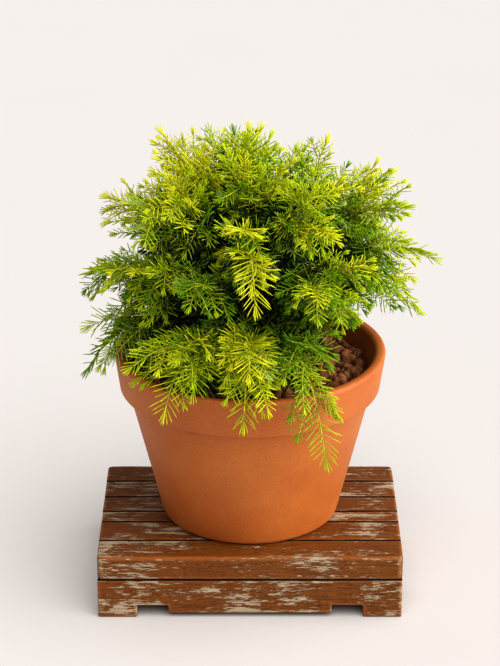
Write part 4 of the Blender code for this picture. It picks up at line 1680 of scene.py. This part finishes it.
lines = [shoot.line[:-1:RIB_STEP] + [shoot.line[-1]] for shoot in shoots]
radii = []
for shoot, line in zip(shoots, lines):
    radii.append(tapering(MAIN_RIB_RADII if shoot.leading else SIDE_RIB_RADII, len(line)))
mesh = rods("ribs", lines, radii, 0)
dress("shoot_ribs", mesh, young_bark, all_foliage)

# %% [markdown]
# ## Bark
# Trunk, boughs and stems are the same rods with more sides. The bark of a young conifer is
# ridged along the limb, so noise that is drawn out upwards raises and sinks the surface by
# up to half a millimetre, and a finer bump goes on top.

# %% Trunk, boughs and stems
TRUNK_RINGS = 60
LIMB_STEP = 0.002
BARK_RELIEF = 0.00045
BARK_SCALE = (420, 420, 90)  # finer round a limb than along it

bark, tree, shader, place = new_material("bark", 0.85, 0.3)
tone = use_group(tree, mottling, Vector=place, Patch_Scale=120, Speck_Scale=1000)
colour = layer(tree, tint(74, 44, 28), tone["Patches"], 0.3, 0.7, tint(150, 98, 62))
colour = layer(tree, colour, tone["Specks"], 0.58, 0.75, tint(176, 138, 100))
give(tree, shader.inputs, Base_Color=colour)
bump(tree, shader, tone["Specks"], 0.0003, 0.8)

heights = trunk_heights(TRUNK_RINGS)
lines = [[trunk_point(z) for z in heights]]
radii = [[trunk_radius(z) for z in heights]]
for mass in MASSES:
    if mass.root_z:
        lines.append(smooth_line(boughs[mass.name], LIMB_STEP))
        radii.append(tapering((BOUGH_RADIUS, BOUGH_TIP_RADIUS), len(lines[-1])))
    lines.append(smooth_line(stems[mass.name], LIMB_STEP))
    radii.append(tapering((STEM_RADIUS, STEM_TIP_RADIUS), len(lines[-1])))
mesh = rods("limbs", lines, radii, 4)
normals = [vert.normal.copy() for vert in mesh.vertices]
for vert, normal in zip(mesh.vertices, normals):
    relief = noise.noise(Vector(c * scale for c, scale in zip(vert.co, BARK_SCALE)))
    vert.co += normal * relief * BARK_RELIEF
dress("limbs", mesh, bark, ["trunk"] + nodes_named("bough_"))

# %% [markdown]
# ## Floor and sky
# The setting is a plain pale sweep. One large grid serves for it, so large that its edge is
# never seen, and a faint even sky lights what no sun reaches.

# %% Floor and sky
FLOOR_SIZE = 80
SKY_TINT = (1.0, 0.985, 0.97, 1)
SKY_STRENGTH = 0.22

floor_finish, tree, shader, place = new_material("floor", 0.9, 0.2)
grain = noise_value(tree, place, 6)
pale = blend(tree, grain, tint(214, 209, 206), tint(216, 211, 208))
give(tree, shader.inputs, Base_Color=pale)
bm = bmesh.new()
bmesh.ops.create_grid(bm, x_segments=1, y_segments=1, size=FLOOR_SIZE / 2)
mesh = mesh_from(bm, "floor")
mesh.materials.append(floor_finish)
floor = as_object("floor", mesh)
floor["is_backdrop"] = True

world = bpy.data.worlds.new("studio")
bpy.context.scene.world = world
world.use_nodes = True
sky = world.node_tree.nodes["Background"]
sky.inputs["Color"].default_value = SKY_TINT
sky.inputs["Strength"].default_value = SKY_STRENGTH
print(f"a floor of {FLOOR_SIZE} m, and a sky of strength {SKY_STRENGTH}")

# %% [markdown]
# ## Suns
# The photo's light is soft and comes from the right. Area lamps would do, but suns light
# everything alike, however large the part is. Two broad ones from the right are the key, and
# one from above and one from the left fill in. The floor has a sun of its own, which only
# the stand and the pot shade: it keeps one tone all over, but for the soft shadow beside the
# stand.

# %% Suns
SUNS = (  # name, strength, where it shines from, spread in degrees
    ("key", 3.0, (1.0, -0.4, 0.75), 60),
    ("side", 2.1, (1.0, -0.2, 0.15), 50),
    ("top", 1.15, (0.2, -0.5, 1.3), 100),
    ("fill", 0.42, (-0.6, -0.8, 0.6), 110),
)
FLOOR_SUN = ("floor_sun", 3.29, (0.42, -0.5, 1.3), 80)


def named_collection(name, members):
    collection = bpy.data.collections.new(name)
    for member in members:
        collection.objects.link(member)
    return collection


def broad_sun(name, energy, toward, spread, lit):
    """A sun that shines from a direction; its spread in degrees softens the shadow."""
    light = bpy.data.lights.new(name, "SUN")
    light.energy = energy
    light.angle = math.radians(spread)
    sun = bpy.data.objects.new(name, light)
    sun.rotation_mode = "QUATERNION"
    sun.rotation_quaternion = Vector(toward).to_track_quat("Z", "Y")
    sun.light_linking.receiver_collection = lit
    bpy.context.scene.collection.objects.link(sun)
    return sun


pieces = [obj for obj in bpy.context.scene.objects if obj.type == "MESH" and obj != floor]
plant = named_collection("plant_and_pot", pieces)
for sun in SUNS:
    broad_sun(*sun, plant)
floor_sun = broad_sun(*FLOOR_SUN, named_collection("only_floor", [floor]))
solid = [obj for obj in pieces if obj.name.startswith(("wood_", "turned_pot"))]
floor_sun.light_linking.blocker_collection = named_collection("stand_and_pot", solid)
print(f"{len(SUNS)} suns on {len(pieces)} pieces, and one on the floor")

# %% [markdown]
# ## Camera
# The camera was fitted to the ellipses of the pot and the edges of the stand in the photo: a
# long lens, a metre and a half in front of the stand, looking down by twenty-three degrees.

# %% Camera
CAMERA_FROM_STAND = Vector((0, -1.5201, 0.8438))
CAMERA_PITCH = 0.4037
LENS = 122.6

front_low, front_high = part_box("stand_apron_front")
back_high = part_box("stand_apron_back")[1]
stand_middle = Vector(((front_low.x + front_high.x) / 2, (front_low.y + back_high.y) / 2, 0))
lens = bpy.data.cameras.new("camera")
lens.sensor_width = 36
lens.lens = LENS
camera = bpy.data.objects.new("camera", lens)
camera.location = stand_middle + CAMERA_FROM_STAND
camera.rotation_euler = (math.pi / 2 - CAMERA_PITCH, 0, 0)
bpy.context.scene.collection.objects.link(camera)
bpy.context.scene.camera = camera
bpy.context.scene.view_settings.view_transform = "Standard"
bpy.context.scene.view_settings.look = "Medium High Contrast"
print(f"the camera looks down by {math.degrees(CAMERA_PITCH):.1f} degrees")

# %% [markdown]
# ## Sizes
# The dressed plant has to stay as large as the imported model, within what soft needles may
# stand proud. How far it reaches past the solids' box is printed, in millimetres. Both boxes
# are written down, so that they can be compared after each render.

# %% Sizes and finish
low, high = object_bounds()
past = [round(1000 * (a - b), 1) for a, b in zip((*cad_low, *high), (*low, *cad_high))]
print("past the solids' box, mm:", past)
